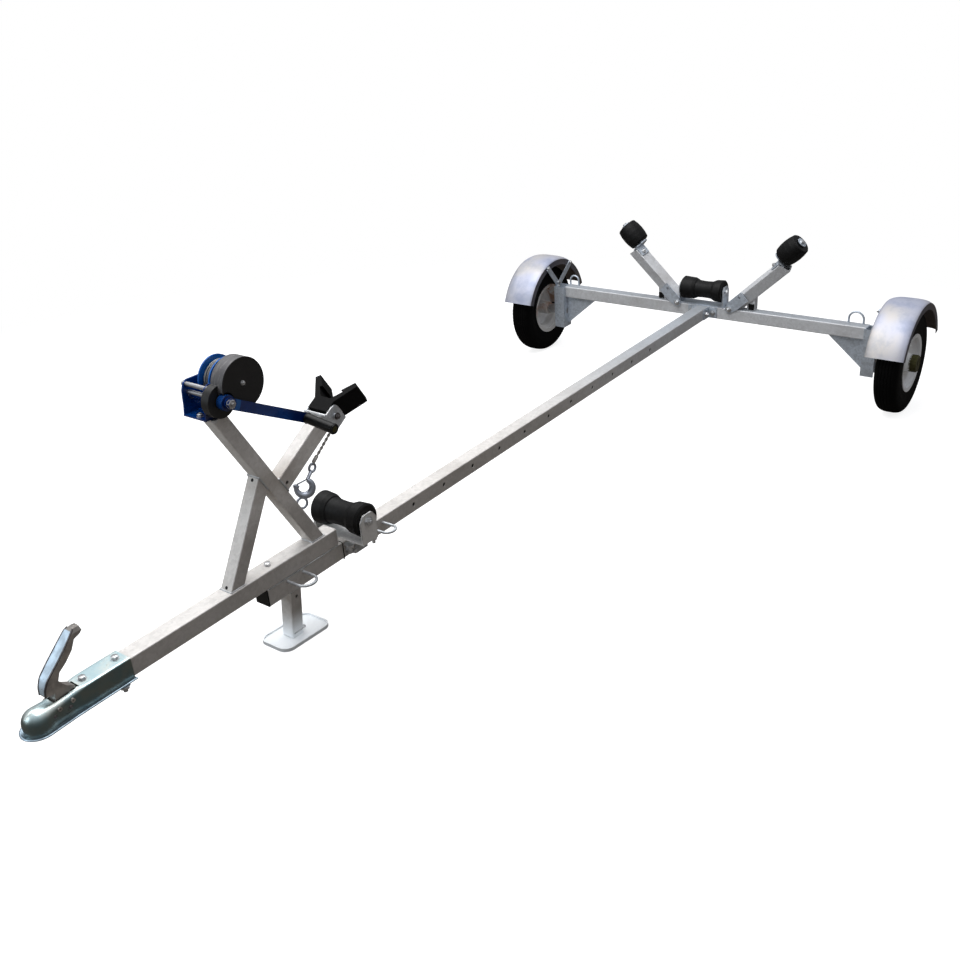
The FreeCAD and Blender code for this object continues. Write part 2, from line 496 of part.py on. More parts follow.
EYE_C, EYE_R, EYE_ROD = (2386.0, 7.0, 484.0), 14.0, 3.5
ring = ring_xz(ring_c, RING_R, RING_ROD)
hook_line = vec(ring_c) - vec(HOOK_C)
hook_line = hook_line * (1 / hook_line.Length)
neck0, neck1 = vec(HOOK_C) + hook_line * HOOK_R, vec(ring_c) - hook_line * (RING_R - 1)
hook = fuse(ring_xz(HOOK_C, HOOK_R, HOOK_ROD, HOOK_WAY), rod(tuple(neck0), tuple(neck1), HOOK_ROD - 1))
eye = ring_xz(EYE_C, EYE_R, EYE_ROD, (0.35, 1, 0.2)).cut(solid_post)
parts["snap_hook"] = fuse(hook, ring, eye)
parts["cable_end"] = max(fuse(*cable).cut(ring).Solids, key=lambda k: k.Volume)

# ---- keel rollers -------------------------------------------------------------------------
half = ROLL_L / 2


def keel_profile(longer):
    """Roller's (y, r) section: waist between two barrels, the right one `longer` than the left."""
    right = -half - longer
    return [(right, ROLL_PIN + RUN), (right, ROLL_R - 5), (right + 5, ROLL_R), (-half + 34, ROLL_R - 2),
            (-half + 46, ROLL_R - 7), (-half + 48, ROLL_WAIST + 2), (-10, ROLL_WAIST), (10, ROLL_WAIST),
            (half - 48, ROLL_WAIST + 2), (half - 46, ROLL_R - 7), (half - 34, ROLL_R - 2),
            (half - 5, ROLL_R), (half, ROLL_R - 5), (half, ROLL_PIN + RUN)]


EAR_Y = half + 2.0
EAR_HALF, EAR_TOP = 30.0, 22.0           # ear half width, and its top above the roller axis
# name, roller axis X, inner face of the left ear, of the right ear, ear's reach in front of the
# axis, extra length of the roller's right barrel
STANDS = [("front", FRONT_ROLL_X, EAR_Y, -EAR_Y, EAR_HALF, 0.0),
          ("rear", REAR_ROLL_X, EAR_Y, -EAR_Y - 22, S / 2, 18.0)]
pins = []
for name, rx, in_left, in_right, w1, longer in STANDS:
    parts["keel_roller_" + name] = revolve_y(keel_profile(longer), rx, ROLL_Z)
    w, z0 = EAR_HALF, DRAW_Z
    ear_shape = [(rx - w, z0), (rx + w1, z0), (rx + w1, ROLL_Z + 4), (rx + 16, ROLL_Z + EAR_TOP),
                 (rx - 16, ROLL_Z + EAR_TOP), (rx - w, ROLL_Z + 4)]
    ears = [prism(ear_shape, "Y", y, y + PLATE) for y in (in_left, in_right - PLATE)]
    base = box(rx - w, rx + w1, in_right - PLATE, in_left + PLATE, z0, z0 + PLATE)
    br = fuse(base, *ears).cut(rod((rx, -200, ROLL_Z), (rx, 200, ROLL_Z), ROLL_PIN))
    if name == "front":
        br = br.cut(box(DRAW_REAR, DRAW_REAR + 200, -S / 2 - 0.5, S / 2 + 0.5, z0 - 1, z0 + 60))
    parts["roller_bracket_" + name] = br
    pins.append(rod((rx, in_right - 12, ROLL_Z), (rx, in_left + 12, ROLL_Z), ROLL_PIN))
parts["keel_roller_pins"] = Part.makeCompound(pins)
# clamp under the front roller: plates each side of the spine and a strip below it
CLAMP_X = (FRONT_ROLL_X - 46, FRONT_ROLL_X)
outside = S / 2 + PLATE
clamp = box(CLAMP_X[0], CLAMP_X[1], -outside, outside, BEAM_Z - PLATE, DRAW_Z)
parts["roller_clamp"] = clamp.cut(box(CLAMP_X[0], CLAMP_X[1], -S / 2, S / 2, BEAM_Z, DRAW_Z))

# ---- side arms and barrel rollers, drawn for the left and mirrored ------------------------------
AX = -26.5                               # arm's centre line
FOOT_Y = 124.1                           # where it crosses the beam's top
TA, TW = math.radians(ARM_TILT), math.radians(ARM_TWIST)
su = V(0, math.cos(TA), math.sin(TA))
flat_n = V(0, -math.sin(TA), math.cos(TA))
sn = flat_n * math.cos(TW) + V(math.sin(TW), 0, 0)
sx = V(math.cos(TW), 0, 0) - flat_n * math.sin(TW)


def on_side(s, n=0.0, x=0.0):
    """s along the left arm from the beam's top, n to its inboard face, x to its front face."""
    return tuple(V(AX, FOOT_Y, DRAW_Z) + su * s + sn * n + sx * x)


def side_block(s0, s1, n0, n1, x0, x1):
    k = Part.makeBox(s1 - s0, n1 - n0, x1 - x0)
    o = on_side(s0, n0, x0)
    m = FreeCAD.Matrix(su.x, sn.x, sx.x, o[0], su.y, sn.y, sx.y, o[1], su.z, sn.z, sx.z, o[2], 0, 0, 0, 1)
    k.Placement = FreeCAD.Placement(m)
    return k


ARM_TOP, ARM_SLANT = 286.0, 13.0         # length at the inboard face, and how much longer outboard
ROLL_AT, ROLL_N, ROLL_X = ARM_TOP + 18, 28.0, -17.0
half_arm, beyond = ARM / 2, ARM_TOP + 80
end_cut = [(ARM_TOP, half_arm), (ARM_TOP + ARM_SLANT, -half_arm), (beyond, -half_arm), (beyond, half_arm)]
end_face = Part.makePolygon([vec(on_side(s, n, -60)) for s, n in end_cut + end_cut[:1]])
above_beam = box(AX - REACH, AX + REACH, 0, BEAM_END, DRAW_Z, DRAW_Z + 2 * ARM_TOP)


def side_tube(solid):
    k = tube(on_side(-40), on_side(ARM_TOP + 40), tuple(sn), ARM, ARM, solid=solid)
    k = k.cut(Part.Face(end_face).extrude(sx * 120)).common(above_beam)
    return max(k.Solids, key=lambda part: part.Volume)


# the arms stop against the rear roller's bracket
between_ears = box(AX - 100, AX + 100, -EAR_Y - 22 - PLATE, EAR_Y + PLATE, DRAW_Z, 900)
parts["side_arms"] = pair(side_tube(False)).cut(between_ears)
# strap: flat bar on the beam's front face, rounded about its bolt, running up over the arm
STRAP_BOLT, STRAP_END = (-4.0, 3.0), 88.0
front = BEAM_X + S


def on_strap(s, n):
    return tuple(V(0, FOOT_Y, DRAW_Z) + su * s + flat_n * n)[1:]


bolt_y, bolt_z = on_strap(*STRAP_BOLT)
bar_pts = [(2, 27), (STRAP_END, 27), (STRAP_END, -21), (20, -20), (STRAP_BOLT[0], -14)]
side_strap = fuse(prism([on_strap(s, n) for s, n in bar_pts], "X", front, front + PLATE),
                  rod((front, bolt_y, bolt_z), (front + PLATE, bolt_y, bolt_z), 17))
hole_y, hole_z = on_strap(68, 14)
side_strap = side_strap.cut(rod((front - 1, hole_y, hole_z), (front + 9, hole_y, hole_z), HOLE_R - 1))
parts["side_arm_straps"] = pair(side_strap)
# rests: short square tubes on the beam under the arms, open ends plugged
REST_Y, REST_X, REST_Z = (188.0, 221.5), (-44.0, -14.0), DRAW_Z + 58
rest = box(REST_X[0], REST_X[1], REST_Y[0], REST_Y[1], DRAW_Z, REST_Z).cut(side_tube(True))
rest = min(rest.Solids, key=lambda part: part.CenterOfMass.z)
parts["arm_rests"] = pair(rest)
rest_plug = box(REST_X[1], REST_X[1] + 4, REST_Y[0] + 8, REST_Y[1] - 2, DRAW_Z + 2, DRAW_Z + 26)
rest_plug = rest_plug.cut(side_tube(True))
spine_plug = box(SPINE_X, SPINE_X + 4, 1 - S / 2, S / 2 - 1, BEAM_Z + 1, BEAM_Z + S - 1)
parts["end_plugs"] = Part.makeCompound([spine_plug, rest_plug, mirror(rest_plug)])

# roller bracket: foot on the arm's inboard face, end plate, pin and washer
plate_s = ARM_TOP + PLATE
pin_s1 = ROLL_AT + SIDE_L + 14
foot_plate = side_block(plate_s - 42, plate_s, ARM / 2, ARM / 2 + PLATE, -22, 22)
crown_n = ROLL_N + 12
end_plate = fuse(side_block(plate_s, plate_s + PLATE, 7, crown_n, ROLL_X - 21, 22),
                 rod(on_side(plate_s, crown_n, ROLL_X), on_side(plate_s + PLATE, crown_n, ROLL_X), 21))
washer_s = ROLL_AT + SIDE_L + 4
ell = fuse(foot_plate, side_block(plate_s - 1, plate_s, ARM / 2, ARM / 2 + PLATE, -22, 22), end_plate,
           rod(on_side(plate_s, ROLL_N, ROLL_X), on_side(pin_s1, ROLL_N, ROLL_X), SIDE_PIN),
           rod(on_side(washer_s, ROLL_N, ROLL_X), on_side(washer_s + 3, ROLL_N, ROLL_X), 20))
parts["side_roller_brackets"] = pair(ell)
barrel = [(0, SIDE_PIN + RUN), (0, SIDE_END_R - 3), (3, SIDE_END_R), (SIDE_L * 0.25, SIDE_R - 1.5),
          (SIDE_L / 2, SIDE_R), (SIDE_L * 0.75, SIDE_R - 1.5), (SIDE_L - 3, SIDE_END_R),
          (SIDE_L, SIDE_END_R - 3), (SIDE_L, SIDE_PIN + RUN)]
pts = [vec(on_side(ROLL_AT + t, ROLL_N, ROLL_X)) + sx * r for t, r in barrel]
roll = Part.Face(Part.makePolygon(pts + pts[:1])).revolve(vec(on_side(ROLL_AT, ROLL_N, ROLL_X)), su, 360)
parts["side_roller_left"], parts["side_roller_right"] = roll, mirror(roll)

# ---- lashing rings ------------------------------------------------------------------------------
RING_BAR = 4.0


def dee(cx, cy, cz, w, hgt, axis):
    """Half-round ring of round rod: legs at cx +- w/2 (or cy), standing out along Y or Z."""
    leg_l = hgt - w / 2
    if axis == "Y":
        way, wide = V(0, 1, 0), V(w / 2, 0, 0)
    else:
        way, wide = V(0, 0, 1), V(0, w / 2, 0)
    c = V(cx, cy, cz)
    p = [c - wide, c - wide + way * leg_l, c + way * hgt, c + wide + way * leg_l, c + wide]
    bow = Part.Arc(p[1], p[2], p[3]).toShape()
    path = Part.Wire([Part.makeLine(p[0], p[1]), bow, Part.makeLine(p[3], p[4])])
    return path.makePipeShell([Part.Wire([Part.makeCircle(RING_BAR, p[0], way)])], True, False)


# name, foot centre X, Y, Z, width and height over the rod's centre line, way it stands out
RINGS = [("stand", 2464.0, S / 2, 308.0, 56.0, 66.0, "Y"),
         ("roller", 2140.0, S / 2, 300.0, 44.0, 60.0, "Y"),
         ("beam_left", -30.0, BEAM_END - 52.0, DRAW_Z, 59.0, 46.0, "Z"),
         ("beam_right", -30.0, 26.0 - BEAM_END, DRAW_Z, 44.0, 44.0, "Z")]
parts["lashing_rings"] = Part.makeCompound([dee(*r[1:]) for r in RINGS])

# ---- write the files, leaned on to the prop stand, origin under the middle of the whole ----------
done = {n: parked(s) for n, s in parts.items()}
done["prop_stand"] = STAND
every = Part.makeCompound(list(done.values())).optimalBoundingBox(False, False)
SHIFT = V(-(every.XMin + every.XMax) / 2, -(every.YMin + every.YMax) / 2, -every.ZMin)

os.makedirs("parts", exist_ok=True)
for name, shape in done.items():
    shape = shape.copy()
    shape.translate(SHIFT)
    shape.exportStep("parts/" + name + ".step")
    bb = shape.BoundBox
    print("%-24s solids %d  vol %9.0f  X %7.1f %7.1f  Y %7.1f %7.1f  Z %6.1f %6.1f  valid %s"
          % (name, len(shape.Solids), shape.Volume, bb.XMin, bb.XMax, bb.YMin, bb.YMax, bb.ZMin, bb.ZMax,
             shape.isValid()))
print("shift", SHIFT, "size", every.XLength, every.YLength, every.ZLength)
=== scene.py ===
# %% [markdown]
# # A light boat trailer, dressed around its engineering model
#
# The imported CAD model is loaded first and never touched. Everything below gives its parts real
# finishes and adds what a workshop would: tyres with ribs, rope on the winch, welds, nuts, beads.

# %% Load the frame
import math

import bpy
import numpy as np
from mathutils import Matrix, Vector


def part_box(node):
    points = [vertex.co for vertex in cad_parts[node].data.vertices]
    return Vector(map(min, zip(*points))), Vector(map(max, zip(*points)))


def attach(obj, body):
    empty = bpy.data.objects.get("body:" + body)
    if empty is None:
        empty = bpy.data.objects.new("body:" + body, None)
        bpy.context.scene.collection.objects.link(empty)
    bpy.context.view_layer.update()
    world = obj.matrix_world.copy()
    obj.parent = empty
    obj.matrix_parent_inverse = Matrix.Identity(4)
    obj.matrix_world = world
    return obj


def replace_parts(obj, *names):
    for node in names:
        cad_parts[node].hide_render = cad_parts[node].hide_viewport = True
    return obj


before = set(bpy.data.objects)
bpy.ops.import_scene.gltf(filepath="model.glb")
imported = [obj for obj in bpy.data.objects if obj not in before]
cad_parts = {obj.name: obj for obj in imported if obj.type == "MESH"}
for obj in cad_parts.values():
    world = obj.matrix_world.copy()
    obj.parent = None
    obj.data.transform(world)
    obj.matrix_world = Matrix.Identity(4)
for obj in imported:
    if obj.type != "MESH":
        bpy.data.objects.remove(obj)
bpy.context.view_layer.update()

# %% [markdown]
# ## From the drawing to the parked trailer
#
# The trailer is drawn level, in millimetres, with the wheel axis at x = 0, and then leans nose-down
# on to its prop stand. One small function does that turn for whole arrays of points, so every piece
# below can be written in the drawing's own easy numbers. The shift comes from where the frame
# really has its wheel.

# %% Level drawing to metres as parked
LEAN = math.radians(2.9)
AXLE_Z = 200.0
wheel_low, wheel_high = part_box("tyre_left")
AXLE_X = (wheel_low.x + wheel_high.x) / 2


def parked(points):
    """x' = x cos a + h sin a + shift and z' = 0.2 - x sin a + h cos a, with h = z - 200 mm."""
    p = np.asarray(points, float)
    x, high = p[..., 0], p[..., 2] - AXLE_Z
    along = x * math.cos(LEAN) + high * math.sin(LEAN)
    up = AXLE_Z - x * math.sin(LEAN) + high * math.cos(LEAN)
    return np.stack([along / 1000 + AXLE_X, p[..., 1] / 1000, up / 1000], -1)


print("wheel axis stands at x =", round(AXLE_X, 4))

# %% [markdown]
# ## Camera
#
# A camera is a place, three directions and a lens. The directions were settled from the trailer's
# own straight tubes: where three sets of parallel edges meet fixes how a camera is turned.

# %% Set up the camera
camera = bpy.data.objects.new("camera", bpy.data.cameras.new("camera"))
bpy.context.scene.collection.objects.link(camera)
CAMERA_PLACE, LENS_MM, SENSOR_MM = (2.5667, 1.8721, 1.5274), 39.24, 36.0
right, up = np.array([-0.59463, 0.80309, -0.03821]), np.array([-0.35423, -0.21902, 0.90915])
back = np.cross(right, up)
turn = Matrix([list(row) for row in np.stack([right, up, back], 1)]).to_4x4()
camera.matrix_world = Matrix.Translation(CAMERA_PLACE) @ turn
camera.data.sensor_width, camera.data.lens = SENSOR_MM, LENS_MM
camera.data.clip_start, camera.data.clip_end = 0.05, 60.0
bpy.context.scene.camera = camera
bpy.context.scene.view_settings.view_transform = "Standard"
print("camera lens", camera.data.lens)

# %% [markdown]
# ## Light and floor
#
# A product picture of bare steel needs one big soft light overhead, a weaker one in front, and a
# world that is bright above and dimmer round the horizon. Flat steel then shows its form: tops go
# nearly white and sides stay grey. What the camera sees behind the trailer is plain white.

# %% World: white to look at, a soft dome to be lit by
world = bpy.data.worlds.new("studio")
bpy.context.scene.world = world
world.use_nodes = True
sky = world.node_tree
sky.nodes.clear()


def sky_node(kind, settings=(), **values):
    """Add a world node; a socket is given by its name, or as n0, n1 and so on by its number."""
    node = sky.nodes.new("ShaderNode" + kind)
    for key, value in dict(settings).items():
        setattr(node, key, value)
    for key, value in values.items():
        socket = node.inputs[int(key[1:]) if key[0] == "n" and key[1:].isdigit() else key]
        if isinstance(value, bpy.types.NodeSocket):
            sky.links.new(value, socket)
        else:
            socket.default_value = value
    return node


sky_way = sky_node("TexCoord").outputs["Generated"]
height = sky_node("SeparateXYZ", n0=sky_way).outputs["Z"]
dome = sky_node("MapRange", {"interpolation_type": "SMOOTHSTEP"}, n0=height,
                n1=0.0, n2=0.95, n3=0.05, n4=0.7).outputs[0]
rays = sky_node("LightPath").outputs
sees = sky_node("Math", {"operation": "MULTIPLY_ADD"}, n0=rays["Is Glossy Ray"], n1=0.18,
                n2=rays["Is Camera Ray"]).outputs[0]
sees = sky_node("Math", {"operation": "ADD", "use_clamp": True}, n0=sees,
                n1=rays["Is Transmission Ray"]).outputs[0]
lit = sky_node("Background", n0=(0.93, 0.95, 1.0, 1.0), n1=dome).outputs[0]
white = sky_node("Background", n0=(1.0, 1.0, 1.0, 1.0), n1=1.0).outputs[0]
both = sky_node("MixShader", n0=sees, n1=lit, n2=white).outputs[0]
sky_node("OutputWorld", n0=both)
print("world has", len(sky.nodes), "nodes")


# %% Lamps
def softbox(name, place, aim, size, watts, tint=(1.0, 1.0, 1.0)):
    """A square area lamp at `place` that looks at `aim`."""
    light = bpy.data.lights.new(name, "AREA")
    light.size, light.energy, light.color = size, watts, tint
    lamp = bpy.data.objects.new(name, light)
    bpy.context.scene.collection.objects.link(lamp)
    look = np.subtract(place, aim)
    look = look / np.linalg.norm(look)
    side = np.cross((0.0, 1.0, 0.0), look)
    side = side / np.linalg.norm(side)
    axes = Matrix([list(row) for row in np.stack([side, np.cross(look, side), look], 1)]).to_4x4()
    lamp.matrix_world = Matrix.Translation(place) @ axes
    print(name, "lamp of", watts, "W")


softbox("overhead", (0.2, -0.7, 3.6), (-0.1, 0.0, 0.3), 3.4, 140.0)
softbox("front", (4.6, -1.6, 1.9), (0.4, 0.0, 0.3), 1.8, 42.0, (0.84, 0.93, 1.0))

# %% [markdown]
# The floor is a plain sheet. Half of its white is its own glow, so it melts into
# the white behind it and still takes the trailer's soft shadow.

# %% Floor
floor_mesh = bpy.data.meshes.new("floor")
FLOOR = 30.0
floor_mesh.from_pydata([(FLOOR * x, FLOOR * y, 0) for x, y in ((-1, -1), (1, -1), (1, 1), (-1, 1))],
                       [], [(0, 1, 2, 3)])
floor = bpy.data.objects.new("floor", floor_mesh)
bpy.context.scene.collection.objects.link(floor)
print("floor", 2 * FLOOR, "m square")


# %% [markdown]
# ## Writing shaders as sums
#
# A material's pattern is arithmetic on numbers that change over a surface. `Wire` holds one output
# socket and gives it + - * and **, so a pattern reads like a formula; `Finish` makes the
# material and adds every other kind of node through one method.

# %% Wire and Finish
class Wire:
    """One output socket that takes part in Python arithmetic by adding Math nodes."""

    def __init__(self, finish, socket):
        self.finish, self.socket = finish, socket

    def math(self, operation, first, second):
        return self.finish.node("Math", {"operation": operation}, {0: first, 1: second})

    def __add__(self, other):
        return self.math("ADD", self, other)

    def __mul__(self, other):
        return self.math("MULTIPLY", self, other)

    def __sub__(self, other):
        return self.math("SUBTRACT", self, other)

    def __rsub__(self, other):
        return self.math("SUBTRACT", other, self)

    def __pow__(self, other):
        return self.math("POWER", self, other)

    __radd__, __rmul__ = __add__, __mul__


class Finish:
    """A material with one Principled surface, built from wires."""

    def __init__(self, name, **constants):
        self.material = bpy.data.materials.new(name)
        self.material.use_nodes = True
        self.tree = self.material.node_tree
        self.surface = self.tree.nodes["Principled BSDF"]
        for socket, value in constants.items():
            self.surface.inputs[socket.replace("_", " ")].default_value = value
        self.object = self.node("TexCoord", {}, {}, "Object")
        self.facing = self.node("TexCoord", {}, {}, "Normal")

    def node(self, kind, settings, values, output=0):
        """Add one node: its settings first (`stops` fills a colour ramp), then its sockets."""
        node = self.tree.nodes.new("ShaderNode" + kind)
        for key, value in settings.items():
            if key == "stops":
                ramp = node.color_ramp.elements
                while len(ramp) < len(value):
                    ramp.new(0.5)
                for element, (place, colour) in zip(ramp, value):
                    element.position, element.color = place, colour
            else:
                setattr(node, key, value)
        for key, value in values.items():
            if isinstance(value, Wire):
                self.tree.links.new(value.socket, node.inputs[key])
            else:
                node.inputs[key].default_value = value
        return Wire(self, node.outputs[output])

    def grain(self, scale, detail=3.0, rough=0.5, at=None):
        """Soft cloudy number about 0.5, `scale` lumps to the metre."""
        return self.node("TexNoise", {}, {"Vector": at or self.object, "Scale": scale,
                                                    "Detail": detail, "Roughness": rough})

    def stretched(self, x, y, z):
        """Object position with each axis scaled, for streaks."""
        return self.node("VectorMath", {"operation": "MULTIPLY"},
                         {0: self.object, 1: (x, y, z)})

    def cells(self, scale, at):
        """Voronoi cells: a colour that differs from cell to cell."""
        return self.node("TexVoronoi", {}, {"Vector": at, "Scale": scale}, "Color")

    def step(self, value, low, high):
        """0 below `low`, 1 above `high`, smooth between."""
        return self.node("MapRange", {"interpolation_type": "SMOOTHSTEP"},
                         {"Value": value, "From Min": low, "From Max": high})

    def blend(self, factor, first, second):
        """Mix of two colours."""
        return self.node("Mix", {"data_type": "RGBA"},
                         {0: factor, 6: first, 7: second}, 2)

    def part(self, vector, axis):
        """One axis of a vector or one channel of a colour."""
        return self.node("SeparateXYZ", {}, {0: vector}, axis)

    def tinted(self, factor, base, tint):
        """Base colour multiplied by a tint, as far as the factor says."""
        return self.node("Mix", {"data_type": "RGBA", "blend_type": "MULTIPLY"},
                         {0: factor, 6: base, 7: tint}, 2)

    def off_axis(self, x, z):
        """Distance from the line across the trailer at (x, z) of the level drawing."""
        axis = parked((x, 0.0, z))
        x, z = (self.part(self.object, k) - float(axis[k]) for k in (0, 2))
        return (x * x + z * z) ** 0.5

    def feed(self, **wires):
        """Link the wires that change over the surface, bump among them."""
        for socket, wire in wires.items():
            if socket == "Bump":
                height, strength, depth = wire
                wire = self.node("Bump", {}, {"Height": height, "Strength": strength,
                                                        "Distance": depth})
                socket = "Normal"
            self.tree.links.new(wire.socket, self.surface.inputs[socket.replace("_", " ")])
        return self.material


def colour(red, green, blue):
    return red, green, blue, 1.0


floor_finish = Finish("pale floor", Roughness=0.9, Specular_IOR_Level=0.1,
                      Emission_Color=colour(1.0, 1.0, 1.0), Emission_Strength=0.84)
speck = floor_finish.grain(3.0)
floor.data.materials.append(floor_finish.feed(
    Base_Color=floor_finish.blend(speck, colour(0.42, 0.42, 0.42), colour(0.46, 0.46, 0.46))))
dim = floor_finish.node("BsdfDiffuse", {}, {"Color": colour(0.17, 0.155, 0.14)})
plain = floor_finish.node("Emission", {},
                          {"Color": colour(1.0, 1.0, 1.0), "Strength": 1.0})
reach = floor_finish.node("VectorMath", {"operation": "LENGTH"},
                          {0: floor_finish.object}, 1)
far = floor_finish.step(reach, 2.4, 3.6)
near = floor_finish.node("MixShader", {}, {
    0: far, 1: Wire(floor_finish, floor_finish.surface.outputs[0]), 2: plain})
seen = floor_finish.node("LightPath", {}, {}, "Is Camera Ray")
ends = floor_finish.node("MixShader", {}, {0: seen, 1: dim, 2: near})
floor_finish.tree.links.new(ends.socket,
                            floor_finish.tree.nodes["Material Output"].inputs["Surface"])
print("floor material ready")

# %% [markdown]
# ## Zinc on steel
#
# Hot-dip galvanising freezes into spangles: flat crystals a centimetre or two across that each
# catch the light a little differently, under faint clouds and a few brownish stains. Voronoi cells
# give the crystals, slow noise gives the clouds, and the same cells nudge the roughness. Painted
# light and shade follow which way a face looks and where it lies: painted shade darkens tops at the
# rear and low flanks in front, and painted light from the white floor makes the steel near the
# floor nearly white.


# %% Galvanised tube and plate
def galvanised(name, pale, dull, stain, metal=0.22, rough=0.44, spangle=110.0):
    """colour = pale to dull by crystal and cloud, then towards stain where slow noise is high."""
    f = Finish(name, Metallic=metal)
    noise = f.node("TexNoise", {}, {"Vector": f.object, "Scale": 30.0}, "Color")
    shift = f.node("VectorMath", {"operation": "SCALE"}, {0: noise, "Scale": 0.02})
    wobble = f.node("VectorMath", {"operation": "ADD"}, {0: f.object, 1: shift})
    crystal = f.part(f.cells(spangle, wobble), 0)
    cloud = f.grain(5.0, 4.0, 0.6)
    fine = f.grain(160.0, 2.0)
    mixed = crystal * 0.22 + cloud * 0.56 + fine * 0.22
    base = f.blend(f.step(mixed, 0.22, 0.78), dull, pale)
    runs = f.grain(2.2, 3.0, 0.55, f.stretched(1.0, 1.0, 2.6))
    mark = f.step(runs, 0.55, 0.74) * 0.6
    base = f.blend(mark, base, stain)
    cool = 1.0 - f.step(f.part(f.object, 0), -1.3, 0.1)
    base = f.tinted(cool, base, colour(0.88, 0.93, 1.0))
    # Painted shade: tops at the rear are darkened a step.
    top = f.step(f.part(f.facing, 2), 0.8, 0.97)
    base = f.tinted(cool * top, base, colour(0.64, 0.67, 0.70))
    # Painted shade: low flanks in front that face left are darkened a step.
    flank_shade = f.step(f.part(f.facing, 1), 0.8, 0.97) * (1.0 - cool)
    flank_shade = flank_shade * (1.0 - f.step(f.part(f.object, 2), 0.33, 0.44))
    base = f.tinted(flank_shade, base, colour(0.64, 0.63, 0.62))
    # Painted light from the white floor: steel near the floor goes nearly white.
    low = (1.0 - f.step(f.part(f.object, 2), 0.012, 0.09)) * (1.0 - cool)
    base = f.blend(low * 0.95, base, colour(0.95, 0.98, 1.0))
    return f.feed(Base_Color=base, Roughness=rough - 0.1 + crystal * 0.12 + cloud * 0.12,
                  Bump=(fine * 0.5 + crystal * 0.5, 0.12, 0.0006))


tube_zinc = galvanised("hot-dip galvanised tube", colour(0.78, 0.75, 0.72),
                       colour(0.60, 0.575, 0.545), colour(0.36, 0.315, 0.27))
plate_zinc = galvanised("galvanised bracket plate", colour(0.70, 0.73, 0.76),
                        colour(0.42, 0.44, 0.46), colour(0.30, 0.29, 0.28), 0.45, 0.34, 120.0)
# A lighter copy of the bracket plate for the front roller bracket: painted light.
lit_bracket_zinc = galvanised("painted-light bracket plate", colour(0.98, 0.97, 0.94),
                          colour(0.80, 0.80, 0.79), colour(0.46, 0.44, 0.42), 0.15, 0.4, 120.0)
print("zinc finishes ready")

# %% [markdown]
# The mudguards are thin rolled sheet with a satin sheen that picks up the room in faint lilac and
# cream. That lilac and cream is a painted reflection of the room: a slow tint that drifts across
# the sheet. Rolling streaks run along it. Painted shade darkens the skirts and the hollow side.


# %% Mudguard sheet, coupling zinc, bright steel
def guard_sheet():
    f = Finish("satin mudguard sheet", Metallic=0.6)
    # Painted reflection: the lilac and cream tint stands for the room seen in the sheet.
    reflection_drift = f.grain(6.0, 2.0, 0.4)
    tint = f.blend(f.step(reflection_drift, 0.38, 0.62), colour(0.48, 0.50, 0.62), colour(0.62, 0.58, 0.54))
    streak = f.grain(30.0, 3.0, 0.6, f.stretched(0.3, 6.0, 0.3))
    base = f.blend(streak * 0.5, tint, colour(0.62, 0.64, 0.70))
    patch = f.step(f.grain(9.0, 4.0, 0.7), 0.42, 0.66) * 0.6
    base = f.tinted(patch, base, colour(0.60, 0.66, 0.76))
    # Painted shade on the hollow side over the wheel and on the turned-down skirts.
    outward_x = f.part(f.facing, 0) * (f.part(f.object, 0) - AXLE_X)
    outward_z = f.part(f.facing, 2) * (f.part(f.object, 2) - AXLE_Z / 1000)
    inner = 1.0 - f.step(outward_x + outward_z, -0.12, -0.04)
    skirt_shade = f.node("Math", {"operation": "ABSOLUTE"}, {0: f.part(f.facing, 1)})
    base = f.tinted(f.step(skirt_shade, 0.35, 0.75), base, colour(0.26, 0.24, 0.23))
    base = f.tinted(inner, base, colour(0.28, 0.24, 0.21))
    return f.feed(Base_Color=base, Roughness=0.5 + streak * 0.18,
                  Bump=(streak, 0.05, 0.0004))


def coupling_zinc():
    f = Finish("zinc-plated pressing", Metallic=0.86)
    cloud = f.grain(24.0, 3.0, 0.55)
    tint = f.blend(f.step(cloud, 0.35, 0.65), colour(0.58, 0.76, 0.80), colour(0.74, 0.80, 0.76))
    fine = f.grain(300.0, 2.0)
    spots = f.step(f.grain(60.0, 4.0, 0.7), 0.62, 0.7)
    base = f.blend(spots * 0.5, tint, colour(0.25, 0.25, 0.22))
    # Painted shade: faces steeper than the top darken, so only the top stays pale.
    steep_shade = 1.0 - f.step(f.part(f.facing, 2) + cloud * 0.24, 0.50, 1.10)
    base = f.tinted(steep_shade, base, colour(0.22, 0.235, 0.225))
    return f.feed(Base_Color=base, Roughness=0.26 + cloud * 0.16 + spots * 0.2,
                  Bump=(fine, 0.1, 0.0003))


def bright_steel(name, base=(0.62, 0.62, 0.63), rough=0.22):
    f = Finish(name, Metallic=0.95)
    line = f.grain(420.0, 2.0)
    cloud = f.grain(45.0, 3.0)
    darker = colour(*[0.6 * c for c in base])
    return f.feed(Base_Color=f.blend(f.step(cloud, 0.3, 0.75), colour(*base), darker),
                  Roughness=rough + cloud * 0.2, Bump=(line, 0.08, 0.0002))


sheet_zinc, pressing_zinc = guard_sheet(), coupling_zinc()
polished = bright_steel("polished steel")
nut_zinc = bright_steel("zinc nuts", (0.70, 0.71, 0.72), 0.26)
cast_hook = bright_steel("hook steel", (0.50, 0.54, 0.62), 0.30)
rope_steel = bright_steel("rope wire", (0.62, 0.60, 0.56), 0.34)
drum_rope = bright_steel("wound rope wire", (0.26, 0.255, 0.25), 0.4)
turn_shade = bright_steel("painted shade between the turns", (0.035, 0.035, 0.035), 0.5)
lip_zinc = bright_steel("rolled lip", (0.46, 0.58, 0.68), 0.26)
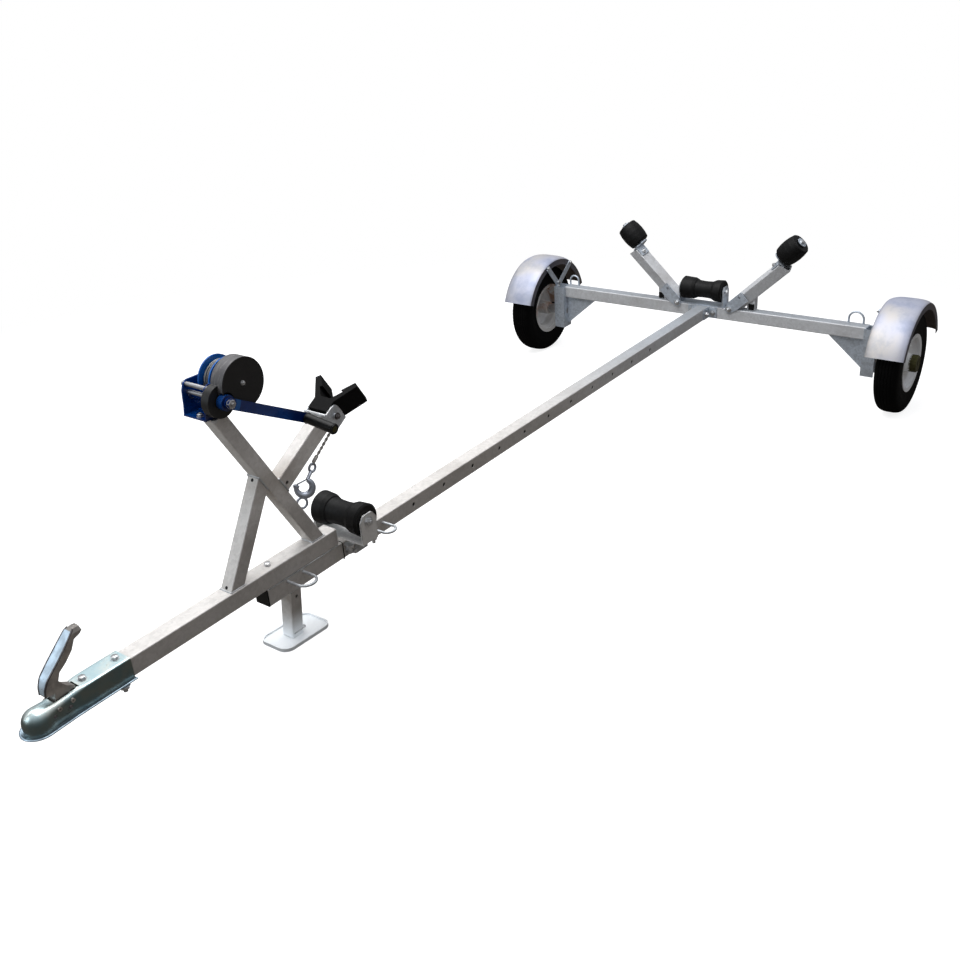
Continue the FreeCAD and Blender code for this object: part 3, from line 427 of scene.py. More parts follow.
# On the lever's rolled rims this dark zinc is painted shade.
dark_zinc = bright_steel("rolled rim of the lever", (0.16, 0.15, 0.15), 0.3)
edge_highlight = bright_steel("painted edge highlight", (0.95, 0.95, 0.95), 0.5)
# The lever is one zinc sheet in lit and shaded copies: its face is painted light, its sides painted
# shade.
lit_lever_zinc = bright_steel("painted-light face of the lever", (0.72, 0.86, 0.98), 0.4)
shaded_lever_zinc = bright_steel("painted-shade lever side", (0.48, 0.45, 0.42), 0.34)
weld_zinc = bright_steel("galvanised weld", (0.56, 0.57, 0.58), 0.36)
print("bright finishes ready")


# %% [markdown]
# ## Rubber, plastic and paint
#
# Black is never just black: rubber carries dust in its hollows and a dull bloom where it is
# touched, plastic has moulding grain, and enamel is a smooth coat over a deep colour.

# %% Rubber, plastic, paint
DRUM_X, DRUM_Z, PINION_X, PINION_Z = 2548.0, 886.0, 2605.0, 859.0


def rubber(name, dark, dust, rough, scale, gloss=0.2):
    f = Finish(name, Specular_IOR_Level=gloss)
    cloud = f.grain(scale, 4.0, 0.65)
    fine = f.grain(700.0, 2.0)
    base = f.blend(f.step(cloud, 0.45, 0.8), colour(dark, dark, dark * 1.05),
                   colour(dust, dust * 0.98, dust))
    return f.feed(Base_Color=base, Roughness=rough + cloud * 0.2, Bump=(fine, 0.18, 0.0004))


def enamel(name, deep, light, worn=None):
    f = Finish(name, Coat_Weight=0.45, Coat_Roughness=0.1, Specular_IOR_Level=0.3)
    peel = f.grain(130.0, 2.0)
    cloud = f.grain(9.0, 3.0, 0.6)
    base = f.blend(f.step(cloud, 0.35, 0.75), deep, light)
    if worn:
        base = f.blend(worn_ring(f), base, worn)
    return f.feed(Base_Color=base, Roughness=0.2 + cloud * 0.12, Bump=(peel, 0.06, 0.0006))


def worn_ring(f):
    """1 where the crank bar is rubbed pale, 16 to 32 mm from its nut, else 0."""
    away = f.off_axis(PINION_X, PINION_Z)
    return f.step(away, 0.018, 0.021) * (1.0 - f.step(away, 0.031, 0.034))


tyre_rubber = rubber("tyre rubber", 0.001, 0.003, 0.55, 26.0, 0.07)
roller_rubber = rubber("roller rubber", 0.002, 0.009, 0.44, 40.0)
stop_rubber = rubber("bow-stop rubber", 0.001, 0.005, 0.55, 60.0, 0.12)
black_plastic = rubber("black plastic", 0.002, 0.006, 0.3, 80.0)
winch_blue = enamel("blue enamel", colour(0.0, 0.014, 0.10), colour(0.001, 0.055, 0.27))
drum_blue = enamel("drum blue enamel", colour(0.0, 0.06, 0.30), colour(0.002, 0.16, 0.56))
crank_blue = enamel("crank blue enamel", colour(0.0, 0.014, 0.10), colour(0.001, 0.05, 0.24),
                    colour(0.01, 0.10, 0.33))


def cover_moulding():
    """Black face; the drum side's rim, where the distance from the drum axis is over 58 mm, is a
    satin grey with lighter streaks, all painted sheen."""
    f = Finish("gear cover moulding", Specular_IOR_Level=0.4)
    away = f.off_axis(DRUM_X, DRUM_Z)
    # Painted sheen: the rim's satin grey and its lighter streaks.
    rim = f.step(away, 0.058, 0.0595) * (1.0 - f.step(away, 0.0626, 0.0632))
    rim = rim * (1.0 - f.step(f.part(f.object, 1), 0.0612, 0.0618))
    cloud = f.grain(60.0, 4.0, 0.65)
    sheen_streak = f.grain(35.0, 4.0, 0.7, f.stretched(1.0, 5.0, 1.0))
    base = f.blend(cloud, colour(0.006, 0.006, 0.006), colour(0.014, 0.013, 0.013))
    base = f.blend(rim, base, colour(0.09, 0.087, 0.09))
    base = f.blend(rim * f.step(sheen_streak, 0.5, 0.62) * 0.6, base, colour(0.2, 0.19, 0.19))
    return f.feed(Base_Color=base, Roughness=0.34 + cloud * 0.2,
                  Bump=(f.grain(600.0, 2.0), 0.12, 0.0003))


cover_plastic = cover_moulding()


def rim_paint():
    """Pale enamel outside; inboard the dish is darker grey and keeps a rusty bloom."""
    f = Finish("pale rim enamel", Coat_Weight=0.3, Coat_Roughness=0.15)
    cloud = f.grain(16.0, 4.0, 0.65)
    inboard = f.part(f.object, 1)
    side = f.node("Math", {"operation": "ABSOLUTE"}, {0: inboard})
    inner = 1.0 - f.step(side, 0.832, 0.85)
    high = f.step(f.part(f.object, 2), 0.17, 0.23)
    bloom = f.step(cloud, 0.4, 0.6) * inner * high * 0.85
    base = f.blend(cloud, colour(0.97, 0.98, 0.99), colour(0.90, 0.91, 0.92))
    base = f.blend(inner * 0.5, base, colour(0.34, 0.33, 0.31))
    base = f.blend(bloom, base, colour(0.30, 0.12, 0.04))
    return f.feed(Base_Color=base, Roughness=0.32 + cloud * 0.2)


rim_enamel = rim_paint()
olive = bright_steel("olive hub cap", (0.10, 0.095, 0.04), 0.45)
print("dark finishes ready")

# %% [markdown]
# ## Dress the CAD parts
#
# Each node takes the finish of what it is made of. The mesh stays as packed; only the material in
# its slot changes.

# %% Finishes on the CAD nodes
FINISHES = {
    tube_zinc: "axle_beam spine_tube drawbar_tube winch_post post_brace bow_stop_arm side_arms "
               "prop_stand arm_rests",
    lit_bracket_zinc: "roller_bracket_front",
    plate_zinc: "spine_angles drop_brackets bow_stop_bracket roller_bracket_rear "
                "roller_clamp side_arm_straps side_roller_brackets lashing_rings guard_stays",
    sheet_zinc: "mudguard_left mudguard_right",
    pressing_zinc: "coupling_body",
    shaded_lever_zinc: "coupling_lever",
    polished: "stub_axles keel_roller_pins winch_tie_rods winch_bushes",
    cast_hook: "snap_hook",
    tyre_rubber: "tyre_left tyre_right",
    rim_enamel: "rim_left rim_right",
    stop_rubber: "bow_stop_rubber",
    roller_rubber: "keel_roller_front keel_roller_rear side_roller_left side_roller_right",
    black_plastic: "end_plugs crank_grip",
    cover_plastic: "gear_cover",
    winch_blue: "winch_frame",
    drum_blue: "winch_drum",
    crank_blue: "winch_crank",
    rope_steel: "drum_cable cable_end",
}
for finish, names in FINISHES.items():
    for name in names.split():
        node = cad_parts[name]
        for slot in node.material_slots:
            slot.material = finish
        if not node.material_slots:
            node.data.materials.append(finish)
dressed = sum(len(names.split()) for names in FINISHES.values())
print("dressed", dressed, "of", len(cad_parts), "CAD nodes")

# %% [markdown]
# ## Surfaces from arrays
#
# Every added piece below is a sheet or a bar worked out with numpy: rows along it, columns round
# it. The helpers return points and faces, so pieces can be joined before they become one mesh, and
# a signed volume tells whether a closed shape has its faces the right way out.


# %% Grids, joining and closing
def quads(rows, columns, ring_rows=False, ring_columns=True):
    """Four corner numbers for each cell of a grid that is stored row after row."""
    r = np.arange(rows if ring_rows else rows - 1)[:, None]
    c = np.arange(columns if ring_columns else columns - 1)[None, :]
    r1, c1 = (r + 1) % rows, (c + 1) % columns
    cell = np.stack([r * columns + c, r * columns + c1, r1 * columns + c1, r1 * columns + c], -1)
    return cell.reshape(-1, 4)


def closed(points, ring_rows=False):
    """Points (rows, columns, 3) round a bar: side quads and, unless it is a ring, two end faces."""
    rows, columns = points.shape[:2]
    faces = [quads(rows, columns, ring_rows)]
    if not ring_rows:
        faces += [np.arange(columns)[None, ::-1], (rows - 1) * columns + np.arange(columns)[None]]
    return outward(points.reshape(-1, 3), faces)


def outward(points, faces):
    """Turn all faces round where a sum of corner-to-origin wedges says the shape is inside out."""
    volume = 0.0
    for block in faces:
        corner = points[block]
        first = corner[:, :1]
        volume += np.einsum("ij,ij->", np.cross(corner[:, 1:-1] - first, corner[:, 2:] - first)
                            .reshape(-1, 3), np.repeat(first[:, 0], block.shape[1] - 2, 0))
    return points, [block[:, ::-1] if volume < 0 else block for block in faces]


def join(*shapes):
    """Several shapes as one, their face numbers shifted by the points before them."""
    starts = np.cumsum([0] + [len(points) for points, faces in shapes[:-1]])
    return (np.concatenate([points for points, faces in shapes]),
            [block + start for (points, faces), start in zip(shapes, starts) for block in faces])


def both_sides(shape):
    """The shape and its mirror image across the trailer's middle plane."""
    points, faces = shape
    return join(shape, (points * (1, -1, 1), [block[:, ::-1] for block in faces]))


# %% Make a Blender object
def add_piece(name, shape, body, finish, crease=32.0):
    """Put a shape given in the level drawing's millimetres into the scene, parked."""
    points, faces = shape
    mesh = bpy.data.meshes.new(name)
    mesh.from_pydata(parked(points).tolist(), [],
                     [face for block in faces for face in block.tolist()])
    mesh.polygons.foreach_set("use_smooth", np.ones(len(mesh.polygons), bool))
    mesh.set_sharp_from_angle(angle=math.radians(crease))
    mesh.materials.append(finish)
    piece = bpy.data.objects.new(name, mesh)
    bpy.context.scene.collection.objects.link(piece)
    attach(piece, body)
    print(name, "on", body, sum(len(b) * (b.shape[1] - 2) for b in faces), "triangles")
    return piece


# %% Profiles, placing and bars
def full_turn(count):
    """Angles once round, the first not repeated."""
    return np.linspace(0, 2 * np.pi, count, endpoint=False)


def lengths(path):
    """Distance along a path at each of its points."""
    return np.concatenate([[0], np.cumsum(np.linalg.norm(np.diff(path, axis=0), axis=1))])


def about(x, z, radius, angle, y):
    """Points round a line across the trailer: (x + r cos a, y, z + r sin a)."""
    return np.stack([x + radius * np.cos(angle), y + 0 * angle, z + radius * np.sin(angle)], -1)


def turned(profile, around, flats=()):
    """Row i is a ring of radius r_i at height h_i about +Z; rows named in `flats` are hexagons,
    whose radius is stretched by 1 / cos of the angle from the nearest flat's middle."""
    h, r = np.array(profile, float).T
    angle = full_turn(around)
    stretch = np.ones((len(h), around))
    stretch[list(flats)] = 1 / np.cos((angle + np.pi / 6) % (np.pi / 3) - np.pi / 6)
    ring = r[:, None] * stretch
    return np.stack([ring * np.cos(angle), ring * np.sin(angle), h[:, None] + 0 * ring], -1)


def stand(points, place, axis):
    """Turn a shape drawn about +Z so that +Z points along `axis`, and move it to `place`."""
    w = np.asarray(axis, float) / np.linalg.norm(axis)
    u = np.cross((0.3, 0.2, 1.0) if abs(w[2]) < 0.8 else (1.0, 0.0, 0.0), w)
    u = u / np.linalg.norm(u)
    return points @ np.stack([u, np.cross(w, u), w]) + np.asarray(place, float)


def lathe(profile, around, place, axis, flats=()):
    """A turned solid put in its place."""
    return closed(stand(turned(profile, around, flats), place, axis))


def rod(start, end, radius):
    """Bar with slightly rounded ends between two points."""
    start, end = np.asarray(start, float), np.asarray(end, float)
    n = np.linalg.norm(end - start)
    edge = min(0.8, n / 3, radius / 2)
    profile = [(0, radius - edge), (edge, radius), (n - edge, radius), (n, radius - edge)]
    return lathe(profile, 16, start, end - start)


def smooth_path(corners, step, passes=3):
    """Points `step` apart along straight runs, averaged with their neighbours to soften corners."""
    corners = np.asarray(corners, float)
    run = lengths(corners)
    s = np.linspace(0, run[-1], max(4, int(run[-1] / step)))
    path = np.stack([np.interp(s, run, corners[:, k]) for k in range(3)], -1)
    for _ in range(passes):
        path[1:-1] = (path[:-2] + 2 * path[1:-1] + path[2:]) / 4
    return path


def frame_of(path, up, ring=False):
    """Unit directions across a path: side = along x up, top = side x along."""
    along = np.roll(path, -1, 0) - np.roll(path, 1, 0) if ring else np.gradient(path, axis=0)
    along = along / np.linalg.norm(along, axis=1, keepdims=True)
    side = np.cross(along, up)
    side = side / np.linalg.norm(side, axis=1, keepdims=True)
    return side, np.cross(side, along)


def swept(path, radius, up, around=10, ring=False):
    """Circles of radius r_i square to the path; `ring` joins the last to the first."""
    side, top = frame_of(path, up, ring)
    angle = full_turn(around)[None, :, None]
    size = np.broadcast_to(radius, len(path))[:, None, None]
    points = path[:, None] + size * (np.cos(angle) * side[:, None] + np.sin(angle) * top[:, None])
    return closed(points, ring)


print("mesh helpers ready")

# %% [markdown]
# ## Tyres
#
# A small trailer tyre is a rounded section with shallow ribs round the tread. The section is a
# closed profile that is carried round the wheel; ribs are grooves pressed into the radius, and they
# waver a little so that they read as moulded rubber and not as turned metal.

# %% Tyre section and ribs
SIDES, TRACK_HALF = (("left", 1), ("right", -1)), 832.0
half = np.array([
    (-36, 103), (-40, 108), (-41.5, 114), (-43, 122), (-44, 134), (-46.2, 150), (-46.4, 162),
    (-45, 176), (-42, 186), (-37, 192.5), (-30, 196.6), (-20, 199.2), (-8, 200)])
section = np.concatenate([half, half[::-1] * (-1, 1)])
steps = lengths(section)
s = np.linspace(0, steps[-1], 150)
across, out = (np.interp(s, steps, section[:, k]) for k in (0, 1))
for _ in range(4):
    across[1:-1] = (across[:-2] + 2 * across[1:-1] + across[2:]) / 4
    out[1:-1] = (out[:-2] + 2 * out[1:-1] + out[2:]) / 4


def tyre(side):
    """r = section radius - grooves where |y - y_g - 0.8 sin 24a| is small - shoulder notches."""
    angle = full_turn(216)[:, None]
    y, r = across[None, :], out[None, :]
    waver = 0.8 * np.sin(24 * angle)
    groove = sum(np.exp(-((y - g - waver) / 1.3) ** 4) for g in (-24.0, -12.0, 0.0, 12.0, 24.0))
    notch = np.clip(np.sin(72 * angle) * 3, 0, 1) * np.exp(-((np.abs(y) - 38) / 4.5) ** 4)
    ridge = 0.9 * sum(np.exp(-((r - q) / 1.1) ** 2) for q in (126.0, 158.0)) * (np.abs(y) > 40)
    tread = r > 180
    r = r - 2.2 * groove * tread - 1.4 * notch + 0 * angle
    y = y + np.sign(y) * ridge * 0.6 + 0 * angle
    inner = np.stack([y * 0 + np.linspace(36, -36, y.shape[1])[None], r * 0 + 103.0], -1)[:, ::12]
    y, r = (np.concatenate([first, inner[..., k]], 1) for k, first in ((0, y), (1, r)))
    return closed(about(0, AXLE_Z, r, angle, side * TRACK_HALF + y), True)


for name, side in SIDES:
    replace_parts(add_piece("ribbed_tyre_" + name, tyre(side), "wheel_" + name, tyre_rubber),
                "tyre_" + name)

# %% [markdown]
# ## Mudguards
#
# Each guard is one pressed sheet: a crowned arch with its long edges turned down and hemmed. The
# section across it is drawn once as a thin closed loop, dense where it bends, and carried round
# the arc, so light runs over it without facets.

# %% Crowned arch with hemmed edges
GUARD_MID, GUARD_HALF, GUARD_R, GUARD_CROWN = 825.0, 73.0, 247.0, 11.0
ARC_X, ARC_Z = -12.7, 193.0
GUARD_FROM, GUARD_TO = 20.5, 163.0
LIP, SHEET, HEM = 36.0, 2.0, 1.1


def guard_section():
    """Outer line: y = k w, r = R - crown k^4 rounded into the lip; inner line one sheet inside;
    a hem swells the free edge of the lip."""
    k = np.sin(np.linspace(-np.pi / 2, np.pi / 2, 61))
    y, r = k * GUARD_HALF, GUARD_R - GUARD_CROWN * k ** 4
    down = np.linspace(0, 1, 9)[1:]
    foot = GUARD_R - LIP
    top = r[-1]
    lip_r = top + (foot - top) * down
    hem = HEM * np.exp(-((lip_r - foot - 1.5) / 1.6) ** 2)
    y_out = np.concatenate([(-GUARD_HALF - hem)[::-1] + HEM, y * (1 - HEM / GUARD_HALF),
                            GUARD_HALF + hem - HEM])
    r_out = np.concatenate([lip_r[::-1], r, lip_r])
    y_in = y_out * (1 - SHEET / GUARD_HALF)
    r_in = np.concatenate([lip_r[::-1], r - SHEET, lip_r])
    return np.concatenate([y_out, y_in[::-1]]), np.concatenate([r_out, r_in[::-1]])


def guard(side):
    angle = np.radians(np.linspace(GUARD_FROM, GUARD_TO, 73))[:, None]
    y, r = (v[None, :] for v in guard_section())
    return closed(about(ARC_X, ARC_Z, r, angle, side * GUARD_MID + y))


for name, side in SIDES:
    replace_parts(add_piece("pressed_guard_" + name, guard(side), "chassis", sheet_zinc,
                          50.0), "mudguard_" + name)

# %% [markdown]
# ## Nuts and bolts
#
# All fasteners are one small recipe: a washer, a hexagon with a chamfered top, and, for a nut, the
# end of its thread. A list says where each sits, which way it faces and how big it is.


# %% Hexagon heads
def bolt(place, axis, across_flats, washer=1.35, thread=0.0):
    """Rings of a washer, a hexagonal block and its round top, then the thread's end if any."""
    a, h = across_flats / 2, across_flats * 0.42
    profile = [(0, a * washer), (1.4, a * washer), (1.4, a), (1.4 + h * 0.85, a),
               (1.4 + h, a * 0.86)]
    if thread:
        profile += [(1.4 + h, a * 0.55), (1.4 + h + thread, a * 0.55),
                    (2 + h + thread, a * 0.48)]
    return lathe(profile, 24, place, axis, (2, 3))


FRONT, LEFT, RIGHT, UP, DOWN = (1, 0, 0), (0, 1, 0), (0, -1, 0), (0, 0, 1), (0, 0, -1)
STAY_Y, STAY_TIP_R, STAY_TIP_ANGLES = 746.5, 229, (71.2, 119.9)
one_side = [
    bolt((15, 48, 293), FRONT, 17), bolt((42, 30, 293), LEFT, 17, thread=5),
    bolt((15, 119.1, 317.5), FRONT, 17, 1.5, 4),
    *[bolt((-3, y, z), FRONT, 13) for y, z in ((703, 210), (706, 181), (703, 143))],
    *[bolt((x, STAY_Y, z), RIGHT, 13) for x, z in ((-22, 306), (-21, 325))],
]
tips = [(ARC_X + STAY_TIP_R * math.cos(math.radians(a)),
         ARC_Z + STAY_TIP_R * math.sin(math.radians(a))) for a in STAY_TIP_ANGLES]
one_side += [bolt((x, STAY_Y, z), RIGHT, 11, 1.5) for x, z in tips]
add_piece("frame_bolts", both_sides(join(*one_side)), "chassis", nut_zinc)

middle = [bolt((2993, 0, 372), UP, 15), bolt((3079, 0, 372), UP, 15),
          bolt((2527, 0, 368), UP, 15, 1.1),
          bolt((2993, 0, 318), DOWN, 19, 1.4, 7), bolt((3004, 30, 317), DOWN, 19, 1.4, 7),
          *[bolt((x, y, 318), DOWN, 21, 1.4, 13) for y in (46, -46) for x in (2278, 2215)],
          bolt((2527, 0, 268), DOWN, 15, 1.4, 6)]
add_piece("spine_bolts", join(*middle), "chassis", nut_zinc)

# %% [markdown]
# ## Winch
#
# The drum carries wire rope in real turns: one long path that winds across and back again over a
# dark core, painted shade that shows between the turns. The crank's nut is bare zinc, and the cover
# has a centre bolt and a rolled edge.


# %% Rope on the drum
ROPE, COVER_R, COVER_Y = 2.2, 61.2, 61.6


def wound(turns=8.0):
    """Angle a runs `turns` times round; y sweeps -24.6 to 1.6 mm and back as a triangle wave with a
    slight wander, and the second layer rides 2 mm higher than the first."""
    a = np.linspace(0, 2 * np.pi * turns, int(turns * 44))
    t = a / a[-1]
    y = -24.6 + 26.2 * (1 - np.abs(1 - 2 * t)) + 1.6 * np.sin(1.7 * a) * np.sin(np.pi * t)
    r = 40.6 + 2.7 * np.clip((t - 0.47) * 14, 0, 1)
    return about(DRUM_X, DRUM_Z, r, a, y)


# The dark core is painted shade between the rope's turns.
core = lathe([(0, 36.5), (31.6, 36.5)], 64, (DRUM_X, -27.3, DRUM_Z), LEFT)
add_piece("rope_core", core, "drum", turn_shade)
turns = swept(wound(), ROPE, (0.02, 1.0, 0.01), 8)
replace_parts(add_piece("rope_turns", turns, "drum", drum_rope, 60.0), "drum_cable")

# %% Cover bolt, rolled edge, base bolts and rod ends
around = full_turn(96)
edge = about(DRUM_X, DRUM_Z, COVER_R, around, COVER_Y)
add_piece("cover_edge", swept(edge, 1.1, LEFT, 8, True), "chassis", cover_plastic)
add_piece("winch_bolts", join(
    bolt((2550.5, 62, 888.5), LEFT, 9, 1.3, 1.5), bolt((2627, -14, 819), UP, 13, 1.4, 2),
    bolt((2618, 22, 815), DOWN, 13, 1.3, 3), bolt((2560, -14, 819), UP, 13, 1.4, 2),
    *[rod((x, 18, z), (x, 21.4, z), 7.0) for x, z in ((2617, 889), (2615, 869))],
    *[rod((x, -66, z), (x, -60, z), 7.0)
      for x, z in ((2617, 889), (2615, 869), (DRUM_X, DRUM_Z), (PINION_X, PINION_Z))]),
    "chassis", nut_zinc)

# %% Crank nut and washer, collars and end of the grip
nut = [(0, 10.0), (5.6, 10.0), (6.9, 8.8), (6.9, 4.8), (9, 4.8), (9.8, 4.0)]
add_piece("crank_nut", join(lathe([(0, 11.6), (1.6, 11.6)], 40, (PINION_X, 74.6, PINION_Z), LEFT),
                            lathe(nut, 48, (PINION_X, 76.2, PINION_Z), LEFT, (0, 1))),
          "crank", polished)
GRIP_WAY = np.array([-1.0, 94.0, -12.0]) / math.hypot(1.0, 94.0, 12.0)
grip_foot = np.array([2386.0, 73.0, 739.0])
collar = [(0, 13.4), (1.5, 14.2), (3, 13.4)]
add_piece("grip_collars", join(*[
    lathe(collar, 36, grip_foot + s * GRIP_WAY, GRIP_WAY) for s in (3.5, 90.0)]),
    "crank", black_plastic)
add_piece("grip_end", lathe([(0, 7.6), (1.2, 7.6), (2.0, 6.2)], 28, grip_foot + 93.6 * GRIP_WAY,
                            GRIP_WAY), "crank", olive)

# %% [markdown]
# ## Cable, hook and bow stop
#
# Places on the bow-stop arm are given along it, above it and across it, as a fitter would measure
# them. The cable is laid from two strands that turn about each other. The snap hook is a bent bar,
# thickest in its throat, with a wire gate.


# %% Directions of the post and the arm
def direction(degrees):
    """Unit vector in the middle plane, so far above the way forward."""
    return np.array([math.cos(math.radians(degrees)), 0.0, math.sin(math.radians(degrees))])


POST_FOOT, ALONG_POST = np.array([2361.5, 0.0, 368.0]), direction(61.6)
ALONG_ARM, ARM_NORMAL = direction(148.4), direction(58.4)
ARM_FOOT = POST_FOOT + 214.0 * ALONG_POST


def on_arm(s, n, y):
    """Along the arm from the post, above its middle line, and to the left."""
    return ARM_FOOT + s * ALONG_ARM + n * ARM_NORMAL + np.array([0.0, y, 0.0])


def laid(path, offset, radius, lay, up, strands=2):
    """Strand k follows path + offset (cos q side + sin q top), q = 2 pi (s / lay + k / strands)."""
    side, top = frame_of(path, up)
    run = lengths(path)
    turn = 2 * np.pi * (run[:, None] / lay + np.arange(strands) / strands)[..., None]
    ways = path[:, None] + offset * (np.cos(turn) * side[:, None] + np.sin(turn) * top[:, None])
    return [swept(ways[:, k], radius, up, 8) for k in range(strands)]


print("the arm leaves the post at", parked(ARM_FOOT).round(3).tolist())

# %% Cable to the hook
upper = smooth_path([(2571.7, -10.0, 843.0), on_arm(230.5, -2, -30), on_arm(230.5, -38, 14)], 1.5)
lower = smooth_path([on_arm(230.5, -38, 14), on_arm(178, -46, 11), on_arm(124, -54, 8)], 1.5)
ring_place = on_arm(114, -61.5, 8)
crimp = on_arm(146, -50.6, 9), on_arm(126, -53.7, 8)
tail = rod(on_arm(126, -53.7, 8), on_arm(118, -56, 8), 3.2)
CABLE_UP = 0.1, 1.0, 0.2
end_piece = join(*laid(upper, 1.2, 1.45, 16.0, CABLE_UP), *laid(lower, 2.0, 2.1, 26.0, CABLE_UP),
                 rod(*crimp, 5.2), tail)
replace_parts(add_piece("laid_cable", end_piece, "chassis", rope_steel, 60.0),
            "cable_end")


# %% Snap hook
def circle(centre, radius, way, count=48, start=0.0, end=2 * np.pi):
    """Points on a circle square to `way`, whole (without repeating the first) or as an arc."""
    w = np.asarray(way, float) / np.linalg.norm(way)
    u = np.asarray(ring_place) - centre
    u = u - u @ w * w
    u = u / np.linalg.norm(u) if np.linalg.norm(u) > 1 else np.array([1.0, 0.0, 0.0])
    a = np.linspace(start, end, count, endpoint=end - start < 6.28)[:, None]
    return np.asarray(centre) + radius * (np.cos(a) * u + np.sin(a) * np.cross(u, w))


hook_place, hook_way = np.array([2377.0, 15.0, 527.5]), (0.55, 0.8, 0.2)
throat = circle(hook_place, 21.0, hook_way, 90, -0.12, 4.62)
k = np.linspace(0, 1, 90)
thick = 6.0 + 3.8 * np.sin(np.pi * np.clip(k * 1.1, 0, 1)) + 2.6 * np.exp(-((k - 0.96) / 0.05) ** 2)
thick = thick * np.sqrt(np.clip((1.012 - k) / 0.03, 0.1, 1))
neck = np.stack([throat[0], (throat[0] + ring_place) / 2 + (0, 1, 0),
                 ring_place - (ring_place - hook_place) * 0.17])
gate_foot = circle(hook_place, 20.0, hook_way, 2, -0.3, 0.1)[0]
gate_tip = circle(hook_place, 21.0, hook_way, 2, 4.66, 5.2)[0]
ring_circle = about(ring_place[0], ring_place[2], 11.0, around, ring_place[1])
EYE_WAY = 0.35, 1, 0.2
eye_circle = circle(np.array([2386.0, 7.0, 484.0]), 14.0, EYE_WAY)
hook_shape = join(swept(throat, thick, hook_way, 14),
                  swept(smooth_path(neck, 2.0, 2), 5.0, hook_way, 12),
                  rod(gate_foot, gate_tip, 2.0), swept(ring_circle, 3.4, LEFT, 10, True),
                  swept(eye_circle, 3.4, EYE_WAY, 10, True))
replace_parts(add_piece("snap_hook_forged", hook_shape, "chassis", cast_hook),
            "snap_hook")

# %% Bow-stop bolts and a painted highlight along the bracket's edge
stop_bolts = [bolt(on_arm(246, 2, y), way, 13, 1.45, 2) for y, way in ((44, LEFT), (-44, RIGHT))]
add_piece("bow_stop_bolts", join(*stop_bolts), "chassis", dark_zinc)
# A near-white bead along the bracket's top and near edges: painted highlight.
rim = smooth_path([on_arm(223.5, 33, -38), on_arm(223.5, 33, 36),
                   *[on_arm(s, n, 36) for s, n in ((226, 28.4), (253, 28.4), (267, 16),
                                                   (268.4, 2), (268.4, -12))]], 1.5, 3)
add_piece("bracket_edge", swept(rim, 1.7, (0.3, 0.9, 0.4), 8), "chassis", edge_highlight,
          60.0)

# %% [markdown]
# ## Coupling
#
# The pressed head is lofted: along its length the half width, the top and the corner radius change
# smoothly from a square box to a round dome. Every section is a rounded rectangle, open below. An
# inner skin follows it one wall inside, and the lever's slot is left out of both skins.


# %% Lofted shell with a slot
def between(x, *knots):
    """Smooth curve through (x, value) knots: straight runs, softened where they meet."""
    xs, values = np.array(knots, float).T
    window = np.linspace(-9, 9, 19)
    return np.interp(x[:, None] + window, xs, values).mean(1)


DOME_X, DOME_R, DOME_Z, SHELL_Z = 3198, 33.5, 338.5, 318


def sections(x, wall):
    """Rows of (x, y, z): wall up to the corner, a quarter circle of radius c, half the top, then
    mirrored. Half width w and top h follow knots, then the dome: w = sqrt(R^2 - (x - x0)^2) and
    h = z0 + w."""
    w = between(x, (2960, 29), (3090, 29), (3112, 27), (3168, 27), (3190, 33), (3260, 33.5))
    h = between(x, (2960, 372), (3100, 372), (3116, 370.6), (3160, 367), (3186, 370),
                (DOME_X, 372), (3260, 372))
    c = between(x, (2960, 5), (3086, 5), (3112, 13), (3160, 16), (3196, 33), (3260, 33.5))
    ball = np.sqrt(np.clip(DOME_R ** 2 - np.clip(x - DOME_X, 0, 33.49) ** 2, 0.4, None))
    w, h, c = np.minimum(w, ball), np.where(x > DOME_X, DOME_Z + ball, h), np.minimum(c, ball)
    w, h, c = (np.maximum(v, 0.6) for v in (w - wall, h - wall, c - wall))
    w, h, c = w[:, None], h[:, None], np.minimum(c, w)[:, None]
    a, t = np.linspace(0, np.pi / 2, 9)[None], np.linspace(0, 1, 5)[None]
    y = np.concatenate([w + 0 * t[:, :-1], w - c + c * np.cos(a), (w - c) * (1 - t[:, 1:])], 1)
    z = np.concatenate([SHELL_Z + (h - c - SHELL_Z) * t[:, :-1], h - c + c * np.sin(a),
                        h + 0 * t[:, 1:]], 1)
    y, z = np.concatenate([y, -y[:, -2::-1]], 1), np.concatenate([z, z[:, -2::-1]], 1)
    return np.stack([x[:, None] + 0 * y, y, z], -1)


dome_angle = np.linspace(0, np.pi / 2, 16)[1:]
stations = np.concatenate([np.linspace(*run) for run in ((2973, 3093, 13), (3097, 3160, 13),
                                                         (3165, DOME_X, 9))])
outer, inner = (sections(np.concatenate([stations, DOME_X + reach * np.sin(dome_angle)]), wall)
                for reach, wall in ((33.49, 0.0), (29.6, 3.7)))
rows, columns = outer.shape[:2]
cell_x = (outer[:-1, :-1, 0] + outer[1:, 1:, 0]) / 2
cell_y = (outer[:-1, :-1, 1] + outer[1:, 1:, 1]) / 2
gone = (cell_x > 3095) & (cell_x < 3160) & (np.abs(cell_y) < 14.5) & (outer[:-1, :-1, 2] > 355)
skin = quads(rows, columns, ring_columns=False)
kept = skin[~gone.ravel()]
count = rows * columns
edges = np.concatenate([kept[:, [i, (i + 1) % 4]] for i in range(4)])
code = edges[:, 0] * count + edges[:, 1]
free = edges[~np.isin(edges[:, 1] * count + edges[:, 0], code)]
walls = np.stack([free[:, 1], free[:, 0], free[:, 0] + count, free[:, 1] + count], -1)
shell = outward(np.concatenate([outer.reshape(-1, 3), inner.reshape(-1, 3)]),
                [kept, kept[:, ::-1] + count, walls])
